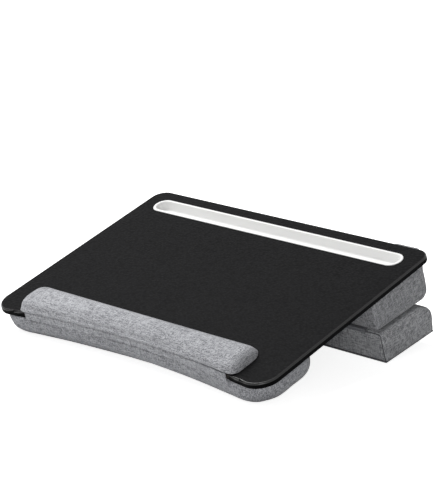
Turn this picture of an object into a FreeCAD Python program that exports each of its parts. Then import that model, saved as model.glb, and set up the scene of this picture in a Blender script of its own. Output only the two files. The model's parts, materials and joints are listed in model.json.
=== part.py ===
import FreeCAD, Part
import math
import os

import Sketcher

# Lap desk: a leatherette-covered board with a wrist rest and a phone tray, standing on a front bolster
# and on two rear cushions, the lower of which folds forward under the board on a cloth hinge.
#
# Everything is modelled in the board's own frame first: X to the right, Y to the rear from the line of
# the front corners, Z up from the writing surface. The finished pieces are then tilted together until the
# bolster and the lower cushion stand on one floor, with the origin under the middle of the whole desk.

SIZES = {
    # board
    "board_width": 530.0,
    "board_depth": 364.0,
    "belly_radius": 1800.0,
    "belly_depth": 15.0,
    "board_front_corner": 30.0,
    "board_rear_corner": 22.0,
    "leather": 1.0,
    "core_thickness": 6.2,
    "lining_thickness": 1.0,
    "edge_round": 1.4,
    "fit_gap": 0.2,
    # phone tray
    "tray_end_margin": 26.0,
    "tray_width": 33.0,
    "tray_rear_margin": 22.0,
    "tray_rim": 4.0,
    "tray_rim_rise": 0.8,
    "tray_rim_round": 0.8,
    "tray_depth": 14.0,
    "tray_wall": 1.6,
    "tray_taper": 10.0,
    "tray_floor_round": 3.0,
    # wrist rest
    "pad_end_margin": 55.0,
    "pad_rear": 63.0,
    "pad_height": 18.5,
    "pad_round": 16.0,
    "pad_front_corner": 17.0,
    "pad_rear_corner": 17.0,
    "pad_overhang": 2.5,
    "flap_end_inset": 19.0,
    "cloth": 1.5,
    # front bolster
    "bolster_side_inset": 4.0,
    "bolster_rear": 107.5,
    "bolster_overhang": 4.5,
    "bolster_thickness": 36.5,
    "bolster_round": 27.0,
    "bolster_front_corner": 48.0,
    "bolster_rear_corner": 30.0,
    # upper rear cushion
    "upper_side_inset": 2.0,
    "upper_rear_setback": 20.5,
    "upper_depth": 115.5,
    "upper_front_height": 44.7,
    "upper_rear_height": 53.6,
    "upper_round": 8.0,
    # lower rear cushion
    "lower_side_inset": 1.0,
    "lower_front_setback": 3.0,
    "lower_rear_setback": 27.0,
    "lower_front_height": 47.2,
    "lower_rear_height": 49.5,
    "lower_front_round": 9.0,
    "lower_rear_round": 27.0,
    "lower_rear_bow": 110.0,
    "lower_side_round": 5.0,
    "base_thickness": 2.0,
    # fastening strips and cloth hinge between the rear cushions
    "strip_thickness": 1.5,
    "strip_gap": 0.4,
    "strip_end_margin": 55.0,
    "strip_width": 28.0,
    "strip_setback": 52.0,
    "tape_thickness": 1.0,
    "tape_end_margin": 25.0,
    "tape_leaf": 28.0,
    "hinge_setforward": 0.7,
    "hinge_drop": 4.1,
    "hinge_bead": 2.4,
    # pen pocket behind the rear edge
    "pocket_side_margin": 59.0,
    "pocket_width": 44.0,
    "pocket_cloth": 1.2,
    "pocket_top_drop": 4.0,
    "pocket_height": 34.0,
    "pocket_foot": 9.0,
    "pocket_mouth": 36.0,
    "binding_height": 8.0,
    "binding_thickness": 0.8,
}

MESH_DEVIATION = 0.05
TILT_STEPS = 60
NEAR = 1e-4

doc = FreeCAD.newDocument("LapDesk")
sheet = doc.addObject("Spreadsheet::Sheet", "Sizes")
for row, (alias, number) in enumerate(SIZES.items(), start=1):
    sheet.set(f"A{row}", alias)
    sheet.set(f"B{row}", str(number))
    sheet.setAlias(f"B{row}", alias)
doc.recompute()


class Size:
    """A size as a number and as the expression that binds it to the sheet."""

    def __init__(self, value, text):
        self.value = value
        self.text = text

    def joined(self, other, sign, value):
        return Size(value, f"({self.text} {sign} {other.text})")

    def __add__(self, other):
        other = as_size(other)
        return self.joined(other, "+", self.value + other.value)

    def __sub__(self, other):
        other = as_size(other)
        return self.joined(other, "-", self.value - other.value)

    def __mul__(self, other):
        other = as_size(other)
        return self.joined(other, "*", self.value * other.value)

    def __truediv__(self, other):
        other = as_size(other)
        return self.joined(other, "/", self.value / other.value)

    def __neg__(self):
        return Size(-self.value, f"(-1 * {self.text})")


def as_size(number):
    return number if isinstance(number, Size) else Size(float(number), f"({float(number)})")


def size(alias):
    return Size(float(sheet.get(alias)), f"{sheet.Name}.{alias}")


ZERO = as_size(0)
HALF_WIDTH = size("board_width") / 2
DEPTH = size("board_depth")
CLOTH = size("cloth")
FIT_GAP = size("fit_gap")
LEATHER = size("leather")
BELLY_RADIUS = size("belly_radius")
BELLY_CENTRE = size("belly_depth") - BELLY_RADIUS
CORE_TOP = -LEATHER
CORE_BOTTOM = CORE_TOP - size("core_thickness")
UNDERSIDE = CORE_BOTTOM - size("lining_thickness")


# Sketches


def vector(x, y, z=0.0):
    return FreeCAD.Vector(x, y, z)


def new_body(label):
    body = doc.addObject("PartDesign::Body", label)
    body.Label = label
    return body


def new_sketch(body, plane_role, offset=ZERO):
    """An empty sketch on one of the body's own planes, moved along its normal by the offset."""
    sketch = body.newObject("Sketcher::SketchObject", f"{body.Name}_sketch")
    plane = next(feature for feature in body.Origin.OriginFeatures if feature.Role == plane_role)
    sketch.AttachmentSupport = (plane, [""])
    sketch.MapMode = "FlatFace"
    sketch.AttachmentOffset = FreeCAD.Placement(vector(0, 0, offset.value), FreeCAD.Rotation())
    sketch.setExpression("AttachmentOffset.Base.z", offset.text)
    return sketch


def drive(sketch, kind, measure, *targets):
    """Add a dimension to the sketch and bind it to the sheet."""
    index = sketch.addConstraint(Sketcher.Constraint(kind, *targets, measure.value))
    sketch.setExpression(f"Constraints[{index}]", measure.text)


def pin(sketch, geometry, point, x, y):
    """Hold a point of the sketch at x, y from the sketch's origin."""
    drive(sketch, "DistanceX", x, -1, 1, geometry, point)
    drive(sketch, "DistanceY", y, -1, 1, geometry, point)


def add_line(sketch, start, end):
    return sketch.addGeometry(Part.LineSegment(start, end), False)


def add_arc(sketch, centre, radius, start, end):
    """An arc that runs anticlockwise about the centre, from start to end."""
    circle = Part.Circle(centre, vector(0, 0, 1), radius)
    first = math.atan2(start.y - centre.y, start.x - centre.x)
    last = math.atan2(end.y - centre.y, end.x - centre.x)
    if last < first:
        last += 2 * math.pi
    return sketch.addGeometry(Part.ArcOfCircle(circle, first, last), False)


def smooth(sketch, geometry, point, next_geometry, next_point):
    sketch.addConstraint(Sketcher.Constraint("Tangent", geometry, point, next_geometry, next_point))


def add_side(sketch, start, end, bow):
    """A straight side, or one that bows outward where it has a radius. The profile runs anticlockwise."""
    if bow is None:
        return add_line(sketch, start, end)
    along = end - start
    inward = vector(-along.y, along.x).normalize()
    rise = math.sqrt(bow.value**2 - (along.Length / 2) ** 2)
    centre = start + along * 0.5 + inward * rise
    return add_arc(sketch, centre, bow.value, start, end)


def polygon(sketch, corners, bows=None):
    """A closed profile through corners (x, y), or (x, y, radius) where a convex corner is rounded.

    The corners run anticlockwise. A rounded corner keeps its sharp point as construction geometry, so
    that the profile is driven by where its sides would meet. Bows gives the radius of each side that
    swells, by the number of the corner that it starts from.
    """
    bows = bows or {}
    points = [vector(corner[0].value, corner[1].value) for corner in corners]
    ends = []
    arcs = []
    for i, corner in enumerate(corners):
        here = points[i]
        if len(corner) == 2:
            ends.append((here, here))
            arcs.append(None)
            continue
        radius = corner[2].value
        back = (points[i - 1] - here).normalize()
        ahead = (points[(i + 1) % len(points)] - here).normalize()
        half_angle = back.getAngle(ahead) / 2
        reach = radius / math.tan(half_angle)
        inward = (back + ahead).normalize()
        centre = here + inward * (radius / math.sin(half_angle))
        start = here + back * reach
        end = here + ahead * reach
        ends.append((start, end))
        arcs.append(add_arc(sketch, centre, radius, start, end))
    lines = []
    for i in range(len(corners)):
        following = (i + 1) % len(corners)
        lines.append(add_side(sketch, ends[i][1], ends[following][0], bows.get(i)))
    for i, corner in enumerate(corners):
        before = lines[i - 1]
        after = lines[i]
        if arcs[i] is None:
            sketch.addConstraint(Sketcher.Constraint("Coincident", before, 2, after, 1))
            pin(sketch, after, 1, corner[0], corner[1])
            continue
        sharp = sketch.addGeometry(Part.Point(points[i]), True)
        sketch.addConstraint(Sketcher.Constraint("PointOnObject", sharp, 1, before))
        sketch.addConstraint(Sketcher.Constraint("PointOnObject", sharp, 1, after))
        pin(sketch, sharp, 1, corner[0], corner[1])
        smooth(sketch, before, 2, arcs[i], 1)
        smooth(sketch, arcs[i], 2, after, 1)
        drive(sketch, "Radius", corner[2], arcs[i])
    for i, bow in bows.items():
        drive(sketch, "Radius", bow, lines[i])


def rectangle(sketch, left, right, front, rear):
    polygon(sketch, [(left, front), (right, front), (right, rear), (left, rear)])


def belly_outline(sketch, half_width, rear, radius, front_corner, rear_corner):
    """The desk's plan outline: straight sides and rear, and a front that curves in round the user's waist.

    The four corners are arcs that run smoothly into the sides, the rear and the waist curve.
    """
    centre = vector(0, BELLY_CENTRE.value)
    side = half_width.value
    back = rear.value
    front_r = front_corner.value
    rear_r = rear_corner.value
    corner_x = side - front_r
    span = radius.value + front_r
    corner_y = centre.y + math.sqrt(span**2 - corner_x**2)
    right_front = vector(corner_x, corner_y)
    right_rear = vector(side - rear_r, back - rear_r)
    toward = (right_front - centre).normalize()
    right_touch = centre + toward * radius.value

    def mirrored(point):
        return vector(-point.x, point.y)

    left_front = mirrored(right_front)
    left_rear = mirrored(right_rear)
    left_touch = mirrored(right_touch)
    right_side_front = vector(side, corner_y)
    right_side_rear = vector(side, back - rear_r)
    rear_right_end = vector(side - rear_r, back)

    right_line = add_line(sketch, right_side_front, right_side_rear)
    rear_right_arc = add_arc(sketch, right_rear, rear_r, right_side_rear, rear_right_end)
    rear_line = add_line(sketch, rear_right_end, mirrored(rear_right_end))
    rear_left_arc = add_arc(sketch, left_rear, rear_r, mirrored(rear_right_end), mirrored(right_side_rear))
    left_line = add_line(sketch, mirrored(right_side_rear), mirrored(right_side_front))
    front_left_arc = add_arc(sketch, left_front, front_r, mirrored(right_side_front), left_touch)
    belly_arc = add_arc(sketch, centre, radius.value, right_touch, left_touch)
    front_right_arc = add_arc(sketch, right_front, front_r, right_touch, right_side_front)

    smooth(sketch, right_line, 2, rear_right_arc, 1)
    smooth(sketch, rear_right_arc, 2, rear_line, 1)
    smooth(sketch, rear_line, 2, rear_left_arc, 1)
    smooth(sketch, rear_left_arc, 2, left_line, 1)
    smooth(sketch, left_line, 2, front_left_arc, 1)
    smooth(sketch, front_left_arc, 2, belly_arc, 2)
    smooth(sketch, belly_arc, 1, front_right_arc, 1)
    smooth(sketch, front_right_arc, 2, right_line, 1)
    sketch.addConstraint(Sketcher.Constraint("Vertical", right_line))
    sketch.addConstraint(Sketcher.Constraint("Vertical", left_line))
    sketch.addConstraint(Sketcher.Constraint("Horizontal", rear_line))
    drive(sketch, "DistanceX", half_width, -1, 1, right_line, 1)
    drive(sketch, "DistanceX", -half_width, -1, 1, left_line, 1)
    drive(sketch, "DistanceY", rear, -1, 1, rear_line, 1)
    pin(sketch, belly_arc, 3, ZERO, BELLY_CENTRE)
    drive(sketch, "Radius", radius, belly_arc)
    for arc in (front_left_arc, front_right_arc):
        drive(sketch, "Radius", front_corner, arc)
    for arc in (rear_left_arc, rear_right_arc):
        drive(sketch, "Radius", rear_corner, arc)


def stadium(sketch, half_length, radius, middle):
    """A slot with half-round ends, centred on the desk's midline."""
    centre_x = half_length - radius
    top = middle.value + radius.value
    bottom = middle.value - radius.value
    right = vector(centre_x.value, middle.value)
    left = vector(-centre_x.value, middle.value)
    front_line = add_line(sketch, vector(left.x, bottom), vector(right.x, bottom))
    right_arc = add_arc(sketch, right, radius.value, vector(right.x, bottom), vector(right.x, top))
    rear_line = add_line(sketch, vector(right.x, top), vector(left.x, top))
    left_arc = add_arc(sketch, left, radius.value, vector(left.x, top), vector(left.x, bottom))
    smooth(sketch, front_line, 2, right_arc, 1)
    smooth(sketch, right_arc, 2, rear_line, 1)
    smooth(sketch, rear_line, 2, left_arc, 1)
    smooth(sketch, left_arc, 2, front_line, 1)
    sketch.addConstraint(Sketcher.Constraint("Horizontal", front_line))
    pin(sketch, right_arc, 3, centre_x, middle)
    pin(sketch, left_arc, 3, -centre_x, middle)
    drive(sketch, "Radius", radius, right_arc)


def curved_strip(sketch, half_length, outer_radius, inner_radius):
    """A strip along the waist curve, between two radii, cut off square at both ends."""
    centre = vector(0, BELLY_CENTRE.value)
    x = half_length.value

    def on_curve(side, radius):
        return vector(side * x, centre.y + math.sqrt(radius**2 - x**2))

    front_left = on_curve(-1, outer_radius.value)
    front_right = on_curve(1, outer_radius.value)
    rear_left = on_curve(-1, inner_radius.value)
    rear_right = on_curve(1, inner_radius.value)
    front_arc = add_arc(sketch, centre, outer_radius.value, front_right, front_left)
    left_line = add_line(sketch, front_left, rear_left)
    rear_arc = add_arc(sketch, centre, inner_radius.value, rear_right, rear_left)
    right_line = add_line(sketch, rear_right, front_right)
    for first, first_end, second, second_end in (
        (front_arc, 2, left_line, 1),
        (left_line, 2, rear_arc, 2),
        (rear_arc, 1, right_line, 1),
        (right_line, 2, front_arc, 1),
    ):
        sketch.addConstraint(Sketcher.Constraint("Coincident", first, first_end, second, second_end))
    sketch.addConstraint(Sketcher.Constraint("Vertical", left_line))
    sketch.addConstraint(Sketcher.Constraint("Vertical", right_line))
    drive(sketch, "DistanceX", -half_length, -1, 1, left_line, 1)
    drive(sketch, "DistanceX", half_length, -1, 1, right_line, 1)
    for arc, radius in ((front_arc, outer_radius), (rear_arc, inner_radius)):
        pin(sketch, arc, 3, ZERO, BELLY_CENTRE)
        drive(sketch, "Radius", radius, arc)


# Features


def extrude(kind, body, sketch, length, upward=True, symmetric=False, taper=None):
    """A Pad or a Pocket of the sketch. Upward is along the sketch's normal."""
    feature = body.newObject(f"PartDesign::{kind}", f"{body.Name}_{kind.lower()}")
    feature.Profile = sketch
    feature.Length = length.value
    feature.setExpression("Length", length.text)
    if symmetric:
        feature.SideType = "Symmetric"
    else:
        feature.Reversed = upward if kind == "Pocket" else not upward
    if taper is not None:
        feature.TaperAngle = taper.value
        feature.setExpression("TaperAngle", taper.text)
    doc.recompute()
    return feature


def dress_edges(kind, measure, body, chosen, amount):
    """A Fillet or a Chamfer along the edges of the body's last feature that the test chooses."""
    base = body.Tip
    names = [f"Edge{i}" for i, edge in enumerate(base.Shape.Edges, start=1) if chosen(edge)]
    feature = body.newObject(f"PartDesign::{kind}", f"{body.Name}_{kind.lower()}")
    feature.Base = (base, names)
    setattr(feature, measure, amount.value)
    feature.setExpression(measure, amount.text)
    doc.recompute()
    return feature


def round_edges(body, chosen, radius):
    return dress_edges("Fillet", "Radius", body, chosen, radius)


def bevel_edges(body, chosen, width):
    return dress_edges("Chamfer", "Size", body, chosen, width)


def at_height(height):
    """A test for edges that lie wholly at one height."""

    def chosen(edge):
        return all(abs(vertex.Z - height.value) < NEAR for vertex in edge.Vertexes)

    return chosen


def off_height(height):
    """A test for edges that don't lie wholly at one height."""

    def chosen(edge):
        return not at_height(height)(edge)

    return chosen


def subtract(label, base, tool):
    cut = doc.addObject("Part::Cut", label)
    cut.Label = label
    cut.Base = base
    cut.Tool = tool
    doc.recompute()
    return cut


def join(label, pieces):
    fuse = doc.addObject("Part::MultiFuse", label)
    fuse.Label = label
    fuse.Shapes = pieces
    fuse.Refine = True
    doc.recompute()
    return fuse


# Board

TRAY_HALF_LENGTH = HALF_WIDTH - size("tray_end_margin")
TRAY_RADIUS = size("tray_width") / 2
TRAY_MIDDLE = DEPTH - size("tray_rear_margin") - TRAY_RADIUS
TROUGH_INSET = size("tray_rim") - size("tray_wall")
TROUGH_BOTTOM = -size("tray_depth") - size("tray_wall")
PAD_HALF = HALF_WIDTH - size("pad_end_margin")
FLAP_HALF = PAD_HALF - size("flap_end_inset")
PAD_RADIUS = BELLY_RADIUS - size("pad_overhang")


def board_outline(sketch, inset):
    belly_outline(
        sketch,
        HALF_WIDTH - inset,
        DEPTH - inset,
        BELLY_RADIUS + inset,
        size("board_front_corner") - inset,
        size("board_rear_corner") - inset,
    )


def tray_outline(sketch, inset):
    stadium(sketch, TRAY_HALF_LENGTH - inset, TRAY_RADIUS - inset, TRAY_MIDDLE)


def pad_outline(sketch, inset):
    belly_outline(
        sketch,
        PAD_HALF - inset,
        size("pad_rear") - inset,
        PAD_RADIUS + inset,
        size("pad_front_corner") - inset,
        size("pad_rear_corner") - inset,
    )


def cut_trough(body, top, bottom):
    """Cut the hole that the tray's trough passes through, from one height down to another."""
    sketch = new_sketch(body, "XY_Plane", top)
    tray_outline(sketch, TROUGH_INSET - FIT_GAP)
    extrude("Pocket", body, sketch, top - bottom, upward=False)


def make_board_core():
    body = new_body("board_core")
    sketch = new_sketch(body, "XY_Plane", CORE_BOTTOM)
    board_outline(sketch, LEATHER + FIT_GAP)
    extrude("Pad", body, sketch, size("core_thickness"))
    cut_trough(body, CORE_TOP, CORE_BOTTOM)
    return body


def make_top_cover():
    """Leatherette over the board's top and edge, left out under the wrist rest and the tray's rim."""
    body = new_body("top_cover")
    sketch = new_sketch(body, "XY_Plane", UNDERSIDE)
    board_outline(sketch, ZERO)
    extrude("Pad", body, sketch, -UNDERSIDE)
    round_edges(body, at_height(ZERO), size("edge_round"))
    hollow = new_sketch(body, "XY_Plane", UNDERSIDE)
    board_outline(hollow, LEATHER)
    extrude("Pocket", body, hollow, CORE_TOP - UNDERSIDE)
    rim = new_sketch(body, "XY_Plane", ZERO)
    tray_outline(rim, -FIT_GAP)
    extrude("Pocket", body, rim, LEATHER, upward=False)
    rest = new_sketch(body, "XY_Plane", ZERO)
    pad_outline(rest, -FIT_GAP)
    extrude("Pocket", body, rest, -UNDERSIDE, upward=False)
    flap = new_sketch(body, "XY_Plane", ZERO)
    half_flap = FLAP_HALF + FIT_GAP
    rectangle(flap, -half_flap, half_flap, -size("belly_depth"), size("belly_depth") + LEATHER)
    extrude("Pocket", body, flap, -UNDERSIDE, upward=False)
    return body


def make_under_lining():
    body = new_body("under_lining")
    sketch = new_sketch(body, "XY_Plane", UNDERSIDE)
    board_outline(sketch, LEATHER + FIT_GAP)
    extrude("Pad", body, sketch, size("lining_thickness"))
    cut_trough(body, CORE_BOTTOM, UNDERSIDE)
    return body


def make_phone_tray():
    """A moulded trough with drafted walls, a rounded floor and a rim that lies on the board's core."""
    body = new_body("phone_tray")
    rise = size("tray_rim_rise")
    rim = new_sketch(body, "XY_Plane", CORE_TOP)
    tray_outline(rim, ZERO)
    extrude("Pad", body, rim, rise - CORE_TOP)
    round_edges(body, at_height(rise), size("tray_rim_round"))
    trough = new_sketch(body, "XY_Plane", CORE_TOP)
    tray_outline(trough, TROUGH_INSET)
    extrude("Pad", body, trough, CORE_TOP - TROUGH_BOTTOM, upward=False, taper=-size("tray_taper"))
    bevel_edges(body, at_height(TROUGH_BOTTOM), size("tray_floor_round"))
    hollow = new_sketch(body, "XY_Plane", rise)
    tray_outline(hollow, size("tray_rim"))
    floor = -size("tray_depth")
    extrude("Pocket", body, hollow, rise - floor, upward=False, taper=-size("tray_taper"))
    round_edges(body, at_height(floor), size("tray_floor_round"))
    return body


# Wrist rest and front bolster. Their foam has bevelled edges, which the padded cloth rounds off.


def pad_form(label, inset, dress):
    """The wrist rest, drawn in by the inset, with its upper edges turned over."""
    top = size("pad_height") - inset
    body = new_body(label)
    sketch = new_sketch(body, "XY_Plane", CORE_TOP)
    pad_outline(sketch, inset)
    extrude("Pad", body, sketch, top - CORE_TOP)
    dress(body, at_height(top), size("pad_round") - inset)
    return body


def make_wrist_rest():
    """A cloth sleeve over foam, glued to the bare core, with a flap down over the board's front edge."""
    skin = pad_form("wrist_rest_skin", ZERO, round_edges)
    inside = pad_form("wrist_rest_inside", CLOTH, bevel_edges)
    shell = subtract("wrist_rest_shell", skin, inside)
    flap = new_body("wrist_rest_flap")
    sketch = new_sketch(flap, "XY_Plane", CORE_TOP)
    curved_strip(sketch, FLAP_HALF, PAD_RADIUS, BELLY_RADIUS + LEATHER)
    extrude("Pad", flap, sketch, CORE_TOP - UNDERSIDE, upward=False)
    cover = join("wrist_rest_cover", [shell, flap])
    foam = pad_form("wrist_rest_foam", CLOTH + FIT_GAP, bevel_edges)
    return cover, foam


def bolster_outline(sketch, inset):
    belly_outline(
        sketch,
        HALF_WIDTH - size("bolster_side_inset") - inset,
        size("bolster_rear") - inset,
        BELLY_RADIUS - size("bolster_overhang") + inset,
        size("bolster_front_corner") - inset,
        size("bolster_rear_corner") - inset,
    )


def bolster_form(label, inset, top, dress):
    """The bolster, drawn in by the inset, with its lower edges turned under."""
    bottom = UNDERSIDE - size("bolster_thickness") + inset
    body = new_body(label)
    sketch = new_sketch(body, "XY_Plane", bottom)
    bolster_outline(sketch, inset)
    extrude("Pad", body, sketch, top - bottom)
    dress(body, at_height(bottom), size("bolster_round") - inset)
    return body


def make_front_bolster():
    """A cloth tub over bevelled foam, glued to the lining along its top."""
    skin = bolster_form("front_bolster_skin", ZERO, UNDERSIDE, round_edges)
    inside = bolster_form("front_bolster_inside", CLOTH, UNDERSIDE + CLOTH, bevel_edges)
    cover = subtract("front_bolster_cover", skin, inside)
    foam = bolster_form("front_bolster_foam", CLOTH + FIT_GAP, UNDERSIDE, bevel_edges)
    return cover, foam


# Rear cushions

UPPER_REAR = DEPTH - size("upper_rear_setback")
UPPER_FRONT = UPPER_REAR - size("upper_depth")
UPPER_HALF = HALF_WIDTH - size("upper_side_inset")
WEDGE_SLOPE = (size("upper_rear_height") - size("upper_front_height")) / (UPPER_REAR - UPPER_FRONT)
LOWER_FRONT = UPPER_FRONT + size("lower_front_setback")
LOWER_REAR = DEPTH - size("lower_rear_setback")
LOWER_HALF = HALF_WIDTH - size("lower_side_inset")
MATING_GAP = size("strip_thickness") * 2 + size("strip_gap")
LOWER_SLOPE = (size("lower_rear_height") - size("lower_front_height")) / (LOWER_REAR - LOWER_FRONT)
HINGE_Y = UPPER_FRONT - size("hinge_setforward")
HINGE_Z = UNDERSIDE - size("upper_front_height") - size("hinge_drop")


def upper_bottom(y):
    """Height of the upper cushion's sloping underside at y."""
    return UNDERSIDE - size("upper_front_height") - WEDGE_SLOPE * (y - UPPER_FRONT)


def lower_top(y):
    """Height of the lower cushion's top at y, parallel to the upper cushion's underside."""
    return upper_bottom(y) - MATING_GAP


def lower_bottom(y):
    """Height of the lower cushion's underside at y."""
    return lower_top(y) - size("lower_front_height") - LOWER_SLOPE * (y - LOWER_FRONT)


def upper_block(label, inset, top, dress):
    """The wedge cushion's form, drawn in by the inset, with every edge but the top ones dressed."""
    front = UPPER_FRONT + inset
    rear = UPPER_REAR - inset
    body = new_body(label)
    sketch = new_sketch(body, "YZ_Plane")
    polygon(
        sketch,
        [
            (front, upper_bottom(front) + inset),
            (rear, upper_bottom(rear) + inset),
            (rear, top),
            (front, top),
        ],
    )
    extrude("Pad", body, sketch, (UPPER_HALF - inset) * 2, symmetric=True)
    dress(body, off_height(top), size("upper_round") - inset)
    return body


def make_upper_riser():
    skin = upper_block("riser_upper_skin", ZERO, UNDERSIDE, round_edges)
    inside = upper_block("riser_upper_inside", CLOTH, UNDERSIDE + CLOTH, bevel_edges)
    cover = subtract("riser_upper_cover", skin, inside)
    foam = upper_block("riser_upper_foam", CLOTH + FIT_GAP, UNDERSIDE, bevel_edges)
    recess = new_sketch(foam, "XY_Plane", UNDERSIDE)
    tray_outline(recess, TROUGH_INSET - FIT_GAP)
    extrude("Pocket", foam, recess, UNDERSIDE - TROUGH_BOTTOM + FIT_GAP, upward=False)
    return cover, foam


def lower_skin_profile(sketch, foot_drop):
    """The lower cushion's outside: swollen at the back, rolled over at the top, sharp at the bottom seam."""
    polygon(
        sketch,
        [
            (LOWER_FRONT, lower_bottom(LOWER_FRONT) + foot_drop),
            (LOWER_REAR, lower_bottom(LOWER_REAR) + foot_drop),
            (LOWER_REAR, lower_top(LOWER_REAR), size("lower_rear_round")),
            (LOWER_FRONT, lower_top(LOWER_FRONT), size("lower_front_round")),
        ],
        {1: size("lower_rear_bow")},
    )


def lower_foam_profile(sketch, inset, foot_drop):
    """The lower cushion's foam: a flat-sided block, bevelled where the cloth rolls over it."""
    front = LOWER_FRONT + inset
    rear = LOWER_REAR - inset
    front_bevel = size("lower_front_round") - inset
    rear_bevel = size("lower_rear_round") - inset
    polygon(
        sketch,
        [
            (front, lower_bottom(front) + foot_drop),
            (rear, lower_bottom(rear) + foot_drop),
            (rear, lower_top(rear) - inset - rear_bevel),
            (rear - rear_bevel, lower_top(rear - rear_bevel) - inset),
            (front + front_bevel, lower_top(front + front_bevel) - inset),
            (front, lower_top(front) - inset - front_bevel),
        ],
    )


def lower_block(label, inset, foot_drop):
    """The lower cushion's form, drawn in by the inset.

    The foot lies foot_drop above the underside of the whole cushion; it is negative where the form has to
    run out through the bottom.
    """
    front = LOWER_FRONT + inset
    rear = LOWER_REAR - inset
    body = new_body(label)
    sketch = new_sketch(body, "YZ_Plane")
    if inset.value > 0:
        lower_foam_profile(sketch, inset, foot_drop)
    else:
        lower_skin_profile(sketch, foot_drop)
    half = LOWER_HALF - inset
    extrude("Pad", body, sketch, half * 2, symmetric=True)
    foot_edges = {lower_bottom(y).value + foot_drop.value for y in (front, rear)}

    def on_side_rim(edge):
        on_side = all(abs(abs(vertex.X) - half.value) < NEAR for vertex in edge.Vertexes)
        same_side = edge.Vertexes[0].X * edge.Vertexes[-1].X > 0
        heights = [vertex.Z for vertex in edge.Vertexes]
        on_foot = all(min(abs(height - foot) for foot in foot_edges) < NEAR for height in heights)
        return on_side and same_side and not on_foot

    round_edges(body, on_side_rim, size("lower_side_round") - inset)
    return body


def make_lower_riser():
    base_thickness = size("base_thickness")
    skin = lower_block("riser_lower_skin", ZERO, base_thickness)
    inside = lower_block("riser_lower_inside", CLOTH, -base_thickness)
    cover = subtract("riser_lower_cover", skin, inside)
    inset = CLOTH + FIT_GAP
    foam = lower_block("riser_lower_foam", inset, base_thickness)
    base = new_body("riser_lower_base")
    sketch = new_sketch(base, "YZ_Plane")
    polygon(
        sketch,
        [
            (LOWER_FRONT, lower_bottom(LOWER_FRONT)),
            (LOWER_REAR, lower_bottom(LOWER_REAR)),
            (LOWER_REAR, lower_bottom(LOWER_REAR) + base_thickness),
            (LOWER_FRONT, lower_bottom(LOWER_FRONT) + base_thickness),
        ],
    )
    extrude("Pad", base, sketch, LOWER_HALF * 2, symmetric=True)
    return cover, foam, base


# Fastening strips and cloth hinge


def sloped_strip(label, underside):
    """One of the pair of strips that hold the rear cushions together, with a sloping underside."""
    thickness = size("strip_thickness")
    front = UPPER_FRONT + size("strip_setback")
    rear = front + size("strip_width")
    body = new_body(label)
    sketch = new_sketch(body, "YZ_Plane")
    polygon(
        sketch,
        [
            (front, underside(front)),
            (rear, underside(rear)),
            (rear, underside(rear) + thickness),
            (front, underside(front) + thickness),
        ],
    )
    extrude("Pad", body, sketch, (HALF_WIDTH - size("strip_end_margin")) * 2, symmetric=True)
    return body


def make_strips():
    """The hook strip under the upper cushion and the loop strip on top of the lower one."""

    def hook_underside(y):
        return upper_bottom(y) - size("strip_thickness")

    hook = sloped_strip("hook_strip", hook_underside)
    loop = sloped_strip("loop_strip", lower_top)
    return hook, loop


def make_hinge_tape():
    """A cloth hinge: a leaf glued under the upper cushion that hangs down to a corded edge.

    The cord lies on the fold line and is sewn along the lower cushion's top front edge.
    """
    length = (HALF_WIDTH - size("tape_end_margin")) * 2
    half = size("tape_thickness") / 2
    bead_radius = size("hinge_bead") / 2
    leaf_rear = UPPER_FRONT + size("tape_leaf")
    web_front = HINGE_Y - half
    web_rear = HINGE_Y + half
    web_foot = HINGE_Z + bead_radius + FIT_GAP
    upper = new_body("hinge_tape_upper")
    sketch = new_sketch(upper, "YZ_Plane")
    polygon(
        sketch,
        [
            (web_front, web_foot),
            (web_rear, web_foot),
            (web_rear, upper_bottom(web_rear) - half * 2),
            (leaf_rear, upper_bottom(leaf_rear) - half * 2),
            (leaf_rear, upper_bottom(leaf_rear)),
            (web_front, upper_bottom(web_front)),
        ],
    )
    extrude("Pad", upper, sketch, length, symmetric=True)

    lower = new_body("hinge_tape_lower")
    bead = new_sketch(lower, "YZ_Plane")
    circle = Part.Circle(vector(HINGE_Y.value, HINGE_Z.value), vector(0, 0, 1), bead_radius.value)
    index = bead.addGeometry(circle, False)
    pin(bead, index, 3, HINGE_Y, HINGE_Z)
    drive(bead, "Radius", bead_radius, index)
    extrude("Pad", lower, bead, length, symmetric=True)
    # The leaf ends just short of the cushion's rounded top front edge.
    drop = lower_top(LOWER_FRONT).value - HINGE_Z.value
    roll = size("lower_front_round").value
    rise = max(0.0, roll - drop)
    seat = LOWER_FRONT + (roll - math.sqrt(roll**2 - rise**2)) - FIT_GAP
    leaf = new_sketch(lower, "YZ_Plane")
    rectangle(leaf, HINGE_Y, seat, HINGE_Z - half, HINGE_Z + half)
    extrude("Pad", lower, leaf, length, symmetric=True)
    return upper, lower


# Pen pocket


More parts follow.
